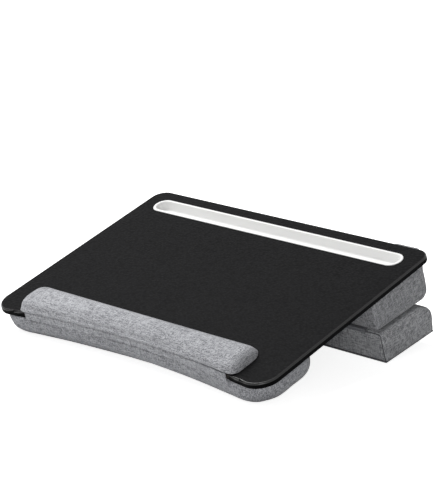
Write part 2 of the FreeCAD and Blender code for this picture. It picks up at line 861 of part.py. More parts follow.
def make_pen_pocket():
    """A flared pocket sewn to the back of the upper cushion, with an elastic edge round its mouth."""
    cloth = size("pocket_cloth")
    centre = HALF_WIDTH - size("pocket_side_margin")
    width = size("pocket_width")
    back = UPPER_REAR + FIT_GAP
    top = UNDERSIDE - size("pocket_top_drop")
    foot = top - size("pocket_height")
    foot_out = back + size("pocket_foot")
    mouth_out = back + size("pocket_mouth")
    flare = (mouth_out - foot_out) / (top - foot)
    body = new_body("pen_pocket")
    sketch = new_sketch(body, "YZ_Plane", centre)
    polygon(sketch, [(back, foot), (foot_out, foot), (mouth_out, top), (back, top)])
    extrude("Pad", body, sketch, width, symmetric=True)
    hollow = new_sketch(body, "YZ_Plane", centre)
    floor = foot + cloth
    above = top + cloth

    def outer_wall(z):
        return foot_out + flare * (z - foot)

    polygon(
        hollow,
        [
            (back + cloth, floor),
            (outer_wall(floor) - cloth, floor),
            (outer_wall(above) - cloth, above),
            (back + cloth, above),
        ],
    )
    extrude("Pocket", body, hollow, width - cloth * 2, symmetric=True)

    binding = new_body("pen_pocket_binding")
    band = new_sketch(binding, "YZ_Plane", centre)
    band_foot = top - size("binding_height")
    out = size("binding_thickness")
    polygon(
        band,
        [
            (outer_wall(band_foot), band_foot),
            (outer_wall(band_foot) + out, band_foot),
            (outer_wall(top) + out, top),
            (outer_wall(top), top),
        ],
    )
    extrude("Pad", binding, band, width, symmetric=True)
    return body, binding


# Assembly


def mesh_points(pieces):
    return [point for piece in pieces for point in piece.Shape.tessellate(MESH_DEVIATION)[0]]


def standing_tilt(front_points, rear_points):
    """The tilt about X, in degrees, at which both groups of points touch one level floor."""

    def lowest(points, tilt):
        return min(point.y * math.sin(tilt) + point.z * math.cos(tilt) for point in points)

    low = 0.0
    high = math.pi / 4
    for _ in range(TILT_STEPS):
        middle = (low + high) / 2
        if lowest(rear_points, middle) < lowest(front_points, middle):
            low = middle
        else:
            high = middle
    return math.degrees((low + high) / 2)


def stand_on_floor(pieces, front_foot, rear_foot):
    """Tilt the pieces together onto their two feet and centre them over the origin."""
    tilt = standing_tilt(mesh_points([front_foot]), mesh_points([rear_foot]))
    turn = FreeCAD.Rotation(vector(1, 0, 0), tilt)
    turned = [turn.multVec(point) for point in mesh_points(pieces)]
    middle_y = (min(point.y for point in turned) + max(point.y for point in turned)) / 2
    floor = min(point.z for point in turned)
    place = FreeCAD.Placement(vector(0, -middle_y, -floor), turn)
    for piece in pieces:
        piece.Placement = place
    doc.recompute()
    return place


def check_document(pieces):
    for feature in doc.Objects:
        if "Invalid" in feature.State or "Error" in feature.State:
            raise RuntimeError(f"{feature.Label} failed: {feature.State}")
    for piece in pieces:
        if piece.Shape.isNull() or not piece.Shape.isValid():
            raise RuntimeError(f"{piece.Label} has no valid shape")
        if len(piece.Shape.Solids) != 1:
            raise RuntimeError(f"{piece.Label} has {len(piece.Shape.Solids)} solids")


def main():
    board_core = make_board_core()
    top_cover = make_top_cover()
    under_lining = make_under_lining()
    phone_tray = make_phone_tray()
    wrist_rest = make_wrist_rest()
    bolster_cover, bolster_foam = make_front_bolster()
    upper_riser = make_upper_riser()
    lower_cover, lower_foam, lower_base = make_lower_riser()
    strips = make_strips()
    tapes = make_hinge_tape()
    pocket = make_pen_pocket()
    pieces = [board_core, top_cover, under_lining, phone_tray, *wrist_rest, bolster_cover, bolster_foam]
    pieces += [*upper_riser, lower_cover, lower_foam, lower_base, *strips, *tapes, *pocket]
    check_document(pieces)
    place = stand_on_floor(pieces, bolster_cover, lower_base)
    check_document(pieces)
    hinge = place.multVec(vector(0, HINGE_Y.value, HINGE_Z.value))
    print(f"tilt {math.degrees(place.Rotation.Angle):.4f} degrees, base {tuple(place.Base)}")
    print(f"hinge axis through y {hinge.y:.4f}, z {hinge.z:.4f}")
    os.makedirs("parts", exist_ok=True)
    for piece in pieces:
        piece.Shape.exportStep(f"parts/{piece.Label}.step")


main()
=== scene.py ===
"""Dresses the lap desk's frame: leatherette board, moulded phone tray, cloth wrist rest and cushions."""

import json
import math

import bmesh
import bpy
import numpy as np
from mathutils import Matrix, Vector, noise
from mathutils.bvhtree import BVHTree


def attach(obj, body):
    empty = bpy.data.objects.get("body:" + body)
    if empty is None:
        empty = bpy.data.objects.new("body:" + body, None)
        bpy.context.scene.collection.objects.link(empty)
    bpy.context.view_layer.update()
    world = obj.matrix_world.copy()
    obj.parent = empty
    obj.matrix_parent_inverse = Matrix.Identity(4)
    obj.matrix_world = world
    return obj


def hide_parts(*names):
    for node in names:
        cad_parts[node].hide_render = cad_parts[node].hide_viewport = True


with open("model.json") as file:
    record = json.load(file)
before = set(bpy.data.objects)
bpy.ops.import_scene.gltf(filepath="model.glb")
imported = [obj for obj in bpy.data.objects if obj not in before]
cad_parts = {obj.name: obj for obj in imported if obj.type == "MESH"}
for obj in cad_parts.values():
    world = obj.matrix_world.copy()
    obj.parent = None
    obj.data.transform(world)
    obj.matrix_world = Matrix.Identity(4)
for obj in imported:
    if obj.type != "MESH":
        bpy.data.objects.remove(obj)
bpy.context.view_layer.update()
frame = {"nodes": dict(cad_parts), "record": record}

bl_info = {
    "name": "Lap desk",
    "version": (1, 0, 0),
    "blender": (4, 5, 0),
    "location": "View3D > Sidebar > Lap desk",
    "description": "Dresses the lap desk's frame with leatherette, moulded plastic and padded cloth",
    "category": "Object",
}

MM = 0.001
# The writing surface's mount lies on the desk's midline, this far behind the line of the front corners.
MOUNT_DEPTH = 200 * MM


def board_matrix():
    """From the board's own frame to the desk's frame.

    The board's frame has X to the right, Y to the rear from the line of the front corners, and Z up from
    the writing surface. The sizes below are all in it.
    """
    mount = frame["record"]["mounts"][0]
    normal = Vector(mount["axis"])
    turn = Matrix.Rotation(math.atan2(-normal.y, normal.z), 4, "X")
    return Matrix.Translation(mount["pos_m"]) @ turn @ Matrix.Translation((0, -MOUNT_DEPTH, 0))


BOARD = board_matrix()


def linear(code):
    """An sRGB hex colour as the linear values that a shader takes."""
    channels = [int(code[i : i + 2], 16) / 255 for i in (1, 3, 5)]
    return tuple(c / 12.92 if c <= 0.04045 else ((c + 0.055) / 1.055) ** 2.4 for c in channels)


def colour(name, description, code):
    """A colour that can be set in the sidebar."""
    return bpy.props.FloatVectorProperty(
        name=name, description=description, subtype="COLOR", size=3, min=0, max=1, default=linear(code)
    )


def length(name, description, millimetres):
    """A length that can be set in the sidebar."""
    return bpy.props.FloatProperty(
        name=name, description=description, subtype="DISTANCE", unit="LENGTH", default=millimetres * MM
    )


class LapDeskColours(bpy.types.PropertyGroup):
    """Colours of the desk's finishes"""

    leatherette: colour("Leatherette", "Embossed black cover of the board", "#131314")
    plastic: colour("Plastic", "Moulded phone tray", "#EEEEED")
    rest_light: colour("Rest, light thread", "Pale thread of the wrist rest", "#C0C1C5")
    rest_dark: colour("Rest, dark thread", "Dark thread of the wrist rest", "#6C6D71")
    # Painted shade and light: the bolster's and the rear cushions' threads are the wrist rest's linen made
    # darker for the shade under the board, the lower cushion's lighter than the upper's for the floor's
    # bounce light.
    bolster_light: colour("Bolster, light thread", "Pale thread of the bolster", "#B3B4B8")
    bolster_dark: colour("Bolster, dark thread", "Dark thread of the bolster", "#606165")
    upper_light: colour("Upper cushion, light thread", "Pale thread of the upper cushion", "#AFB0B3")
    upper_dark: colour("Upper cushion, dark thread", "Dark thread of the upper cushion", "#5A5B5E")
    lower_light: colour("Lower cushion, light thread", "Pale thread of the lower cushion", "#C6C7CA")
    lower_dark: colour("Lower cushion, dark thread", "Dark thread of the lower cushion", "#68696C")
    base: colour("Base", "Bottom panel of the lower cushion", "#6A6B6E")
    lining: colour("Lining", "Cloth under the board", "#1C1C1D")
    webbing: colour("Webbing", "Elastic and fastening strips", "#3A3A3C")
    tape: colour("Hinge tape", "Tape of the cloth hinge", "#85868A")
    seam: colour("Seam", "Sewing thread and seam edges", "#5E5F62")
    fibreboard: colour("Fibreboard", "Dyed core of the board", "#2B2724")
    floor: colour("Floor", "Studio floor", "#E0E0E0")


class LapDeskSizes(bpy.types.PropertyGroup):
    """Sizes of the frame that the cloth follows, and of the cloth itself"""

    underside: length("Underside", "Height of the board's underside", -8.2)
    cover_round: length("Board edge, moulded", "Radius of the cover's edge on the frame", 1.4)
    cover_soft_round: length("Board edge, padded", "Radius of the cover's edge as it looks", 3)
    core_top: length("Core top", "Height of the core that the wrist rest is glued to", -1.0)
    belly_radius: length("Belly radius", "Radius of the board's hollow front edge", 1800)
    belly_depth: length("Belly depth", "Depth of the board's hollow front edge", 15)
    pad_half: length("Wrist rest half length", "From the middle to the wrist rest's end", 210)
    pad_rear: length("Wrist rest rear", "Where the wrist rest ends behind", 63)
    pad_top: length("Wrist rest top", "Height of the wrist rest's crown", 18.5)
    pad_round: length("Wrist rest roll", "Radius that the wrist rest's right end rolls over with", 16)
    pad_left_round: length("Wrist rest left roll", "Radius of its plumper left end", 8)
    pad_corner: length("Wrist rest corner", "Corner radius of the wrist rest seen from above", 17)
    pad_overhang: length("Wrist rest overhang", "How far it stands in front of the board", 2.5)
    flap_half: length("Flap half length", "From the middle to the flap's end", 195.5)
    flap_tuck: length("Flap tuck", "How far the flap reaches up behind the wrist rest's roll", 2.5)
    flap_hem: length("Flap hem", "How far the flap is tucked in below the underside", 2.2)
    bolster_half: length("Bolster half length", "From the middle to the bolster's end", 261)
    bolster_rear: length("Bolster rear", "Where the bolster ends behind", 107.5)
    bolster_corner: length("Bolster corner", "Radius of the bolster's rear corners on the frame", 30)
    bolster_corner_fill: length("Bolster corner fill", "How far those corners are filled out", 3)
    bolster_right_fill: length("Bolster right fill", "How far its plumper right end is drawn out", 2)
    bolster_right_bow: length("Bolster right bow", "How far that end bows between its corners", 1.5)
    upper_half: length("Upper cushion half width", "From the middle to its end", 263)
    upper_front: length("Upper cushion front", "Where it starts in front", 228)
    upper_rear: length("Upper cushion rear", "Where it ends behind", 343.5)
    upper_front_height: length("Upper cushion front height", "Its height in front", 44.7)
    upper_rear_height: length("Upper cushion rear height", "Its height behind", 53.6)
    upper_round: length("Upper cushion edge", "Radius of its edges", 8)
    upper_rear_round: length("Upper cushion rear edge", "Radius of its lower rear edge", 14)
    upper_rear_bow: length("Upper cushion rear bow", "How far its rear swells", 2)
    upper_rim: length("Upper cushion rim", "Width of its top at each end that is level", 8)
    upper_dip: length("Upper cushion dip", "Depth of its hollow top, which clears the phone tray", 10)
    lower_half: length("Lower cushion half width", "From the middle to its end", 264)
    lower_front: length("Lower cushion front", "Where it starts in front", 231)
    lower_rear: length("Lower cushion rear", "Where it ends behind", 337)
    lower_front_height: length("Lower cushion front height", "Its height in front", 47.2)
    lower_rear_height: length("Lower cushion rear height", "Its height behind", 49.5)
    lower_front_round: length("Lower cushion front edge", "Radius of its upper front edge", 9)
    lower_rear_round: length("Lower cushion rear edge", "Radius of its upper rear edge", 27)
    lower_rear_bow: length("Lower cushion rear bow", "How far its rear swells", 5.5)
    lower_end_round: length("Lower cushion end edge", "Radius of the edges round its ends", 4)
    lower_base: length("Lower cushion base", "Thickness of its bottom panel", 2)
    strip_thickness: length("Strip thickness", "Thickness of the hook strip and of the loop strip", 1.5)
    strip_gap: length("Strip gap", "Between the closed strips", 0.4)
    strip_half: length("Strip half length", "From the middle to a strip's end", 210)
    strip_front: length("Strip front", "Where the strips start in front", 280)
    strip_width: length("Strip width", "Width of the strips", 28)
    tape_half: length("Hinge half length", "From the middle to the cloth hinge's end", 240)
    tape_thickness: length("Hinge tape", "Thickness of the hinge's tape", 1)
    tape_leaf: length("Hinge leaf", "How far the hinge reaches under the upper cushion", 28)
    hinge_y: length("Hinge line", "Where the fold line lies", 227.3)
    hinge_z: length("Hinge height", "Height of the fold line", -57)
    hinge_bead: length("Hinge cord", "Radius of the cord that the tape is sewn round", 1.2)
    pocket_x: length("Pocket middle", "Middle of the pen pocket", 206)
    pocket_half: length("Pocket half width", "From the pen pocket's middle to its side", 22)
    pocket_top: length("Pocket top", "Height of the pen pocket's mouth", -12.2)
    pocket_foot: length("Pocket foot", "Height of the pen pocket's floor", -46.2)
    pocket_foot_depth: length("Pocket foot depth", "Depth of the pen pocket at its floor", 9)
    pocket_mouth_depth: length("Pocket mouth depth", "Depth of the pen pocket at its mouth", 36)
    pocket_cloth: length("Pocket cloth", "Thickness of the pen pocket's wall", 1.2)
    binding_height: length("Binding height", "Height of the elastic round the pocket's mouth", 8)
    binding_thickness: length("Binding thickness", "Thickness of that elastic", 0.8)
    spacing: length("Cloth mesh", "Spacing of the points that the cloth moves by", 5)
    tuck: length("Tuck", "How far each cover starts inside its place before it is filled", 0.5)
    rest_swell: length("Wrist rest swell", "Most that the wrist rest's cover may move", 2.5)
    bolster_swell: length("Bolster swell", "Most that the bolster's cover may move", 7.5)
    riser_swell: length("Riser swell", "Most that the rear cushions' covers may move", 2.5)
    seam_cord: length("Seam", "Radius of the raised seam round the lower cushion's front", 0.7)
    thread: length("Thread", "Thread spacing, twice the real one so that it shows", 0.9)
    slub: length("Slub", "Length of the thick places in the thread", 9)
    grain: length("Grain", "Width of the embossed cells, twice the real one so that it shows", 2.2)


# Meshes


def rows(items, values, width, kind=float):
    """One row of a mesh's values for each of its items."""
    flat = np.empty(len(items) * width, kind)
    items.foreach_get(values, flat)
    return flat.reshape(-1, width)


def coordinates(mesh):
    return rows(mesh.vertices, "co", 3)


def set_coordinates(mesh, points):
    mesh.vertices.foreach_set("co", points.ravel())
    mesh.update()


def vertex_normals(mesh):
    return rows(mesh.vertex_normals, "vector", 3)


def neighbour_pairs(mesh):
    """The two points of each edge."""
    return rows(mesh.edges, "vertices", 2, int)


def on_board(points):
    """Points of the desk's frame in the board's frame."""
    turn = np.array(BOARD.inverted())
    return points @ turn[:3, :3].T + turn[:3, 3]


def off_board(points):
    """Points of the board's frame in the desk's frame."""
    turn = np.array(BOARD)
    return points @ turn[:3, :3].T + turn[:3, 3]


def facing(mesh):
    """Which way each point of the mesh faces, in the board's frame."""
    return vertex_normals(mesh) @ np.array(BOARD)[:3, :3]


def ramp(values, low, high):
    """0 below low, 1 above high and a smooth rise between."""
    share = np.clip((values - low) / (high - low), 0, 1)
    return share * share * (3 - 2 * share)


def skin(name, rings):
    """A closed mesh over rings of points in the board's frame, with the first and last ring filled in."""
    count = len(rings[0])
    last = (len(rings) - 1) * count
    faces = [tuple(range(count)), tuple(range(last, last + count))]
    for start in range(0, last, count):
        for step in range(count):
            after = (step + 1) % count
            faces.append((start + step, start + after, start + count + after, start + count + step))
    mesh = bpy.data.meshes.new(name)
    mesh.from_pydata(off_board(np.concatenate(rings)).tolist(), [], faces)
    form = bmesh.new()
    form.from_mesh(mesh)
    bmesh.ops.recalc_face_normals(form, faces=form.faces)
    form.to_mesh(mesh)
    form.free()
    return mesh


def joined(name, meshes):
    """One mesh in place of several."""
    form = bmesh.new()
    for mesh in meshes:
        form.from_mesh(mesh)
        bpy.data.meshes.remove(mesh)
    whole = bpy.data.meshes.new(name)
    form.to_mesh(whole)
    form.free()
    return whole


def new_piece(name, mesh, body, material, nodes=()):
    """Add a piece that moves with a body, takes its finish from a slot and stands for the nodes."""
    piece = bpy.data.objects.new(name, mesh)
    bpy.context.scene.collection.objects.link(piece)
    mesh.materials.append(material)
    mesh.shade_smooth()
    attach(piece, body)
    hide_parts(*nodes)
    return piece


def rounded_outline(corners, spacing):
    """Points round a closed outline with corners (y, z, radius), no further apart than the spacing."""
    turns = []
    for index, (y, z, radius) in enumerate(corners):
        here = np.array((y, z))
        before = np.array(corners[index - 1][:2]) - here
        after = np.array(corners[(index + 1) % len(corners)][:2]) - here
        before /= np.linalg.norm(before)
        after /= np.linalg.norm(after)
        half_angle = math.acos(before @ after) / 2
        middle = (before + after) / np.linalg.norm(before + after)
        centre = here + middle * radius / math.sin(half_angle)
        start = here + before * radius / math.tan(half_angle) - centre
        end = here + after * radius / math.tan(half_angle) - centre
        sweep = math.pi - 2 * half_angle
        steps = max(2, round(2 * radius * sweep / spacing)) if radius else 0
        shares = np.linspace(0, 1, steps + 1) if radius else np.zeros(1)
        for share in shares:
            turn = start * math.sin((1 - share) * sweep) + end * math.sin(share * sweep)
            turns.append(centre + turn / math.sin(sweep))
    outline = []
    for start, end in zip(turns, turns[1:] + turns[:1]):
        parts = max(1, round(np.linalg.norm(end - start) / spacing))
        outline += [start + (end - start) * part / parts for part in range(parts)]
    return np.array(outline)


def inward(outline):
    """The direction into the outline at each of its points."""
    along = np.roll(outline, -1, axis=0) - np.roll(outline, 1, axis=0)
    across = np.stack((-along[:, 1], along[:, 0]), axis=1)
    across /= np.linalg.norm(across, axis=1)[:, None]
    after = np.roll(outline, -1, axis=0)
    area = np.sum(outline[:, 0] * after[:, 1] - outline[:, 1] * after[:, 0])
    return across if area > 0 else -across


def end_stations(half, roll, spacing):
    """X along a piece from end to end, close together where the ends roll over."""
    near_end = half - roll * (1 - np.sin(np.linspace(0, math.pi / 2, 6)))
    parts = math.ceil(2 * (half - roll) / spacing)
    middle = np.linspace(roll - half, half - roll, parts + 1)
    return np.concatenate((-near_end[:0:-1], middle, near_end[1:]))


def end_drop(x, half, roll, fullness=2.0):
    """How far a rolled-over end has dropped at x. A fullness of 2 is a round end, and more is squarer."""
    past = np.clip((np.abs(x) - (half - roll)) / roll, 0, 1)
    return roll * (1 - (1 - past**fullness) ** (1 / fullness))


CAP_RINGS = 5


def block(name, outline, half, roll, spacing, held=None, caps=CAP_RINGS):
    """A form with one outline along X, rolled over at its ends.

    Held is 1 where the roll doesn't draw the outline in, as along a sewn foot, and 0 elsewhere.
    """
    into = inward(outline)
    if held is not None:
        into = into * (1 - held)[:, None]
    rings = []
    for x in end_stations(half, roll, spacing):
        ring = outline + into * end_drop(x, half, roll)
        rings.append(np.column_stack((np.full(len(ring), x), ring)))
    for rim in (rings[0], rings[-1]):
        middle = rim.mean(axis=0)
        shrunk = [middle + (rim - middle) * (1 - step / (caps + 1)) for step in range(1, caps + 1)]
        rings = shrunk[::-1] + rings if rim is rings[0] else rings + shrunk
    return skin(name, rings)


def thin_block(name, corners, half, edge, spacing=2 * MM):
    """A flat form along X, with its corners (y, z) and its ends rounded by the edge."""
    outline = rounded_outline([(y, z, edge) for y, z in corners], spacing)
    return block(name, outline, half, edge, 2 * spacing, caps=0)


def slab(name, face, thickness, front, rear, half, edge, spacing=2 * MM):
    """A thin block from front to rear, between a sloping face and another that lies the thickness above."""
    corners = [
        (front, face(front)),
        (rear, face(rear)),
        (rear, face(rear) + thickness),
        (front, face(front) + thickness),
    ]
    return thin_block(name, corners, half, edge, spacing)


def keep_modifiers(piece):
    """Make what the piece's modifiers give its mesh, and take them off."""
    graph = bpy.context.evaluated_depsgraph_get()
    mesh = bpy.data.meshes.new_from_object(piece.evaluated_get(graph))
    piece.modifiers.clear()
    old = piece.data
    piece.data = mesh
    bpy.data.meshes.remove(old)


# How far a point is drawn towards its neighbours at a time, and how much more of it is then undone.
DRAW = 0.5
UNDO = 1.04
FORM_ROUNDS = 6
FILLED_ROUNDS = 5


def relaxed(points, pairs, share=DRAW):
    """The points drawn towards the middle of their neighbours."""
    count = np.bincount(pairs.ravel(), minlength=len(points))[:, None]
    total = np.zeros_like(points)
    np.add.at(total, pairs[:, 0], points[pairs[:, 1]])
    np.add.at(total, pairs[:, 1], points[pairs[:, 0]])
    return points + (total / count - points) * share


def smoothed(points, pairs, rounds):
    """The points drawn towards their neighbours, and back so that the form doesn't shrink."""
    for _ in range(rounds):
        points = relaxed(points, pairs)
        points = relaxed(points, pairs, -DRAW * UNDO)
    return points


def largest_shell(mesh):
    """Drop every loose part of the mesh but the largest."""
    form = bmesh.new()
    form.from_mesh(mesh)
    left = set(form.verts)
    shells = []
    while left:
        edge = [left.pop()]
        shell = set(edge)
        while edge:
            near = {link.other_vert(vert) for vert in edge for link in vert.link_edges} & left
            left -= near
            shell |= near
            edge = list(near)
        shells.append(shell)
    shells.sort(key=len)
    for shell in shells[:-1]:
        bmesh.ops.delete(form, geom=list(shell), context="VERTS")
    form.to_mesh(mesh)
    form.free()


def even_cover(name, nodes, voxel):
    """One closed, evenly meshed cover over some of the frame's solids."""
    mesh = joined(name, [frame["nodes"][node].data.copy() for node in nodes])
    scratch = bpy.data.objects.new(f"{name}_even", mesh)
    bpy.context.scene.collection.objects.link(scratch)
    remesh = scratch.modifiers.new("Even mesh", "REMESH")
    remesh.mode = "VOXEL"
    remesh.voxel_size = voxel
    keep_modifiers(scratch)
    even = scratch.data
    bpy.data.objects.remove(scratch)
    largest_shell(even)
    even.materials.clear()
    set_coordinates(even, smoothed(coordinates(even), neighbour_pairs(even), FORM_ROUNDS))
    return even


PRESSURE = 4.0
FIRM_PRESSURE = 14.0
CLOTH_FRAMES = 20
CLOTH_QUALITY = 6
EVEN_ROUNDS = 20
# The band along a glued or sewn edge over which a cover comes free.
GLUE_BAND = 8 * MM


def filled(piece, tuck, cap, free, pressure=PRESSURE):
    """Fill a cover: draw it in, let cloth swell out under pressure, and cap how far each point moves.

    Free is how far each point may go, from 0 where the cover is glued or sewn down to 1.
    """
    mesh = piece.data
    start = coordinates(mesh) - vertex_normals(mesh) * (tuck * free)[:, None]
    set_coordinates(mesh, start)
    glued = piece.vertex_groups.new(name="glued")
    for index, share in enumerate(free):
        glued.add([index], 1 - share, "REPLACE")
    cloth = piece.modifiers.new("Cloth", "CLOTH")
    cloth.settings.quality = CLOTH_QUALITY
    cloth.settings.vertex_group_mass = glued.name
    cloth.settings.use_pressure = True
    cloth.settings.uniform_pressure_force = pressure
    cloth.settings.effector_weights.gravity = 0
    scene = bpy.context.scene
    for number in range(1, CLOTH_FRAMES + 1):
        scene.frame_set(number)
    graph = bpy.context.evaluated_depsgraph_get()
    shift = coordinates(piece.evaluated_get(graph).data) - start
    pairs = neighbour_pairs(mesh)
    # The stuffing evens the swelling out, so that no sharp crease is left round a corner.
    for _ in range(EVEN_ROUNDS):
        shift = relaxed(shift, pairs)
    piece.modifiers.clear()
    piece.vertex_groups.clear()
    scene.frame_set(1)
    most = cap * free
    way = np.linalg.norm(shift, axis=1)
    share = np.where(way > most, most / np.maximum(way, MM * MM), 1)
    points = start + shift * share[:, None]
    set_coordinates(mesh, smoothed(points, pairs, FILLED_ROUNDS))


def finer(piece):
    """Subdivide the cover once, for folds and smooth shading."""
    piece.modifiers.new("Subdivision", "SUBSURF").levels = 1
    keep_modifiers(piece)
    piece.data.shade_smooth()


def folded(piece, depth, lengths, weight):
    """Press soft folds into a cover, as long as the lengths along the board's X, Y and Z."""
    mesh = piece.data
    points = coordinates(mesh)
    fold = np.array([noise.noise(spot) for spot in on_board(points) / np.array(lengths)])
    set_coordinates(mesh, points + vertex_normals(mesh) * (depth * weight * fold)[:, None])


CORD_SIDES = 8
# A direction that no stretch of a seam runs along.
ASIDE = (0.3, -0.8, 0.5)


def sewn_cord(name, path, radius, cover):
    """A thin round seam along a path in the board's frame, laid on the cover's surface."""
    tree = BVHTree.FromObject(cover, bpy.context.evaluated_depsgraph_get())
    laid = [tree.find_nearest(Vector(point))[0] for point in off_board(np.array(path))]
    path = on_board(np.array(laid))
    along = np.gradient(path, axis=0)
    along /= np.linalg.norm(along, axis=1)[:, None]
    rings = []
    for point, direction in zip(path, along):
        side = np.cross(direction, ASIDE)
        side /= np.linalg.norm(side)
        up = np.cross(side, direction)
        turns = np.linspace(0, 2 * math.pi, CORD_SIDES, endpoint=False)[:, None]
        rings.append(point + radius * (np.cos(turns) * side + np.sin(turns) * up))
    return skin(name, rings)


# Forms


def welded(name, node):
    """A copy of one of the frame's solids whose faces share their points."""
    source = frame["nodes"][node].data
    shared, index = np.unique(coordinates(source).round(6), axis=0, return_inverse=True)
    faces = [[int(index.ravel()[vertex]) for vertex in face.vertices] for face in source.polygons]
    mesh = bpy.data.meshes.new(name)
    mesh.from_pydata(shared.tolist(), [], faces)
    mesh.update()
    return mesh


# How near a point has to be to a height, and to a rounding as a share of its radius, to lie on it.
NEAR = 0.01 * MM
NEAR_SHARE = 0.02


def cover_mesh(sizes):
    """The board's cover with the fuller edge that the padding under it gives.

    Each point of the frame's small rounding goes to the same turn of the larger one.
    """
    mesh = welded("leatherette_cover", "top_cover")
    place = on_board(coordinates(mesh))
    small = sizes.cover_round
    large = sizes.cover_soft_round
    level = np.abs(place[:, 2] + small) < NEAR
    rim = place[level]
    outward = facing(mesh)[level][:, :2]
    outward /= np.linalg.norm(outward, axis=1)[:, None]
    for index in np.flatnonzero(place[:, 2] > -small - NEAR):
        point = place[index]
        nearest = np.argmin(np.sum((rim[:, :2] - point[:2]) ** 2, axis=1))
        inset = (rim[nearest, :2] - point[:2]) @ outward[nearest]
        across = 1 - inset / small
        up = 1 + point[2] / small
        if abs(math.hypot(across, up) - 1) < NEAR_SHARE:
            place[index, :2] = rim[nearest, :2] - outward[nearest] * large * (1 - across)
            place[index, 2] = -large * (1 - up)
    set_coordinates(mesh, off_board(place))
    return mesh


def belly(x, radius):
    """Y at x of an arc round the middle of the board's hollow front edge."""
    sizes = bpy.context.scene.lap_desk_sizes
    return np.sqrt(radius**2 - x**2) - (sizes.belly_radius - sizes.belly_depth)


PAD_SIDES = 26
# How full the wrist rest's section and ends are: 2 is an ellipse, and more is squarer.
PAD_FULLNESS = 2.7
PAD_END_FULLNESS = 2.2


def pad_mesh(sizes):
    """The wrist rest: a rolled section along the board's hollow front edge, rolled over at its ends."""
    turns = np.linspace(0, math.pi, PAD_SIDES)
    across = np.sign(np.cos(turns)) * np.abs(np.cos(turns)) ** (2 / PAD_FULLNESS)
    up = np.abs(np.sin(turns)) ** (2 / PAD_FULLNESS)
    rings = []
    for x in end_stations(sizes.pad_half, sizes.pad_round, sizes.spacing):
        corner = end_drop(x, sizes.pad_half, sizes.pad_corner, PAD_FULLNESS)
        front = belly(x, sizes.belly_radius - sizes.pad_overhang) + corner
        rear = sizes.pad_rear - corner
        roll = sizes.pad_round if x > 0 else sizes.pad_left_round
        drop = end_drop(x, sizes.pad_half, roll, PAD_END_FULLNESS)
        height = sizes.pad_top - sizes.core_top - drop
        y = (front + rear) / 2 + across * (rear - front) / 2
        z = sizes.core_top + up * height
        rings.append(np.column_stack((np.full(PAD_SIDES, x), y, z)))
    return skin("wrist_rest", rings)


def flap_mesh(sizes):
    """The wrist rest's cover carried down over the board's front edge."""
    outside = sizes.belly_radius - sizes.pad_overhang
    inside = sizes.belly_radius - 0.1 * MM
    top = sizes.core_top + sizes.flap_tuck
    hem = sizes.underside - sizes.flap_hem
    section = rounded_outline(
        [(outside, top, 0), (outside, hem, 1 * MM), (inside, hem, 0), (inside, top, 0)], 2 * MM
    )
    rings = []
    count = round(2 * sizes.flap_half / sizes.spacing)
    for x in np.linspace(-sizes.flap_half, sizes.flap_half, count):
        y = [belly(x, radius) for radius in section[:, 0]]
        rings.append(np.column_stack((np.full(len(section), x), y, section[:, 1])))
    return skin("wrist_rest_flap", rings)


def between(at, start, end, first, last):
    """A size that changes evenly from the first at the start to the last at the end."""
    share = (at - start) / (end - start)
    return first + (last - first) * share


def upper_bottom(sizes, y):
    """Height of the upper cushion's sloping underside at y."""
    heights = (sizes.upper_front_height, sizes.upper_rear_height)
    return sizes.underside - between(y, sizes.upper_front, sizes.upper_rear, *heights)


def lower_top(sizes, y):
    """Height of the lower cushion's top at y."""
    return upper_bottom(sizes, y) - 2 * sizes.strip_thickness - sizes.strip_gap


def bow_rear(outline, from_edge, height, rear, reach, bow):
    """Swell an outline's rear, most in the middle of its height."""
    middle = height / 2
    swell = 1 - ((from_edge - middle) / middle) ** 2
    behind = ramp(outline[:, 0], rear - reach, rear)
    outline[:, 0] += bow * np.clip(swell, 0, 1) * behind


SEWN_BAND = 4 * MM


def upper_mesh(sizes):
    """The upper cushion: a wedge with a hollow top, held along the edges that are glued to the board."""
    front = sizes.upper_front
    rear = sizes.upper_rear
    edge = sizes.upper_round
    outline = rounded_outline(
        [
            (front, sizes.underside, 0),
            (front, upper_bottom(sizes, front), edge),
            (rear, upper_bottom(sizes, rear), sizes.upper_rear_round),
            (rear, sizes.underside, 0),
        ],
        sizes.spacing,
    )
    depth = sizes.underside - outline[:, 1]
    bow_rear(outline, depth, sizes.upper_rear_height, rear, sizes.upper_rear_round, sizes.upper_rear_bow)
    glued = 1 - ramp(depth, 0, SEWN_BAND)
    # A little less than the edge, so that no face at the ends shrinks to nothing.
    mesh = block("riser_upper", outline, sizes.upper_half, 0.8 * edge, sizes.spacing, glued)
    place = on_board(coordinates(mesh))
    level = np.abs(place[:, 2] - sizes.underside) < 0.1 * MM
    within = np.minimum(place[:, 1] - front, rear - place[:, 1]) > 1 * MM
    from_end = ramp(sizes.upper_half - np.abs(place[:, 0]), sizes.upper_rim, 3 * sizes.upper_rim)
    place[:, 2] -= sizes.upper_dip * from_end * (level & within)
    set_coordinates(mesh, off_board(place))
    return mesh


def lower_bottom(sizes, y):
    """Height at y of the lower cushion's cover where it meets the bottom panel."""
    heights = (sizes.lower_front_height, sizes.lower_rear_height)
    height = between(y, sizes.lower_front, sizes.lower_rear, *heights)
    return lower_top(sizes, y) - height + sizes.lower_base


def lower_mesh(sizes):
    """The lower cushion: swollen behind, and held along the seam round its bottom panel."""
    front = sizes.lower_front
    rear = sizes.lower_rear
    outline = rounded_outline(
        [
            (front, lower_top(sizes, front), sizes.lower_front_round),
            (front, lower_bottom(sizes, front), 0),
            (rear, lower_bottom(sizes, rear), 0),
            (rear, lower_top(sizes, rear), sizes.lower_rear_round),
        ],
        sizes.spacing,
    )
    height = outline[:, 1] - lower_bottom(sizes, outline[:, 0])
    sewn = 1 - ramp(height, 0, SEWN_BAND)
    bow_rear(outline, height, sizes.lower_rear_height, rear, sizes.lower_rear_round, sizes.lower_rear_bow)
    return block("riser_lower", outline, sizes.lower_half, sizes.lower_end_round, sizes.spacing, sewn)


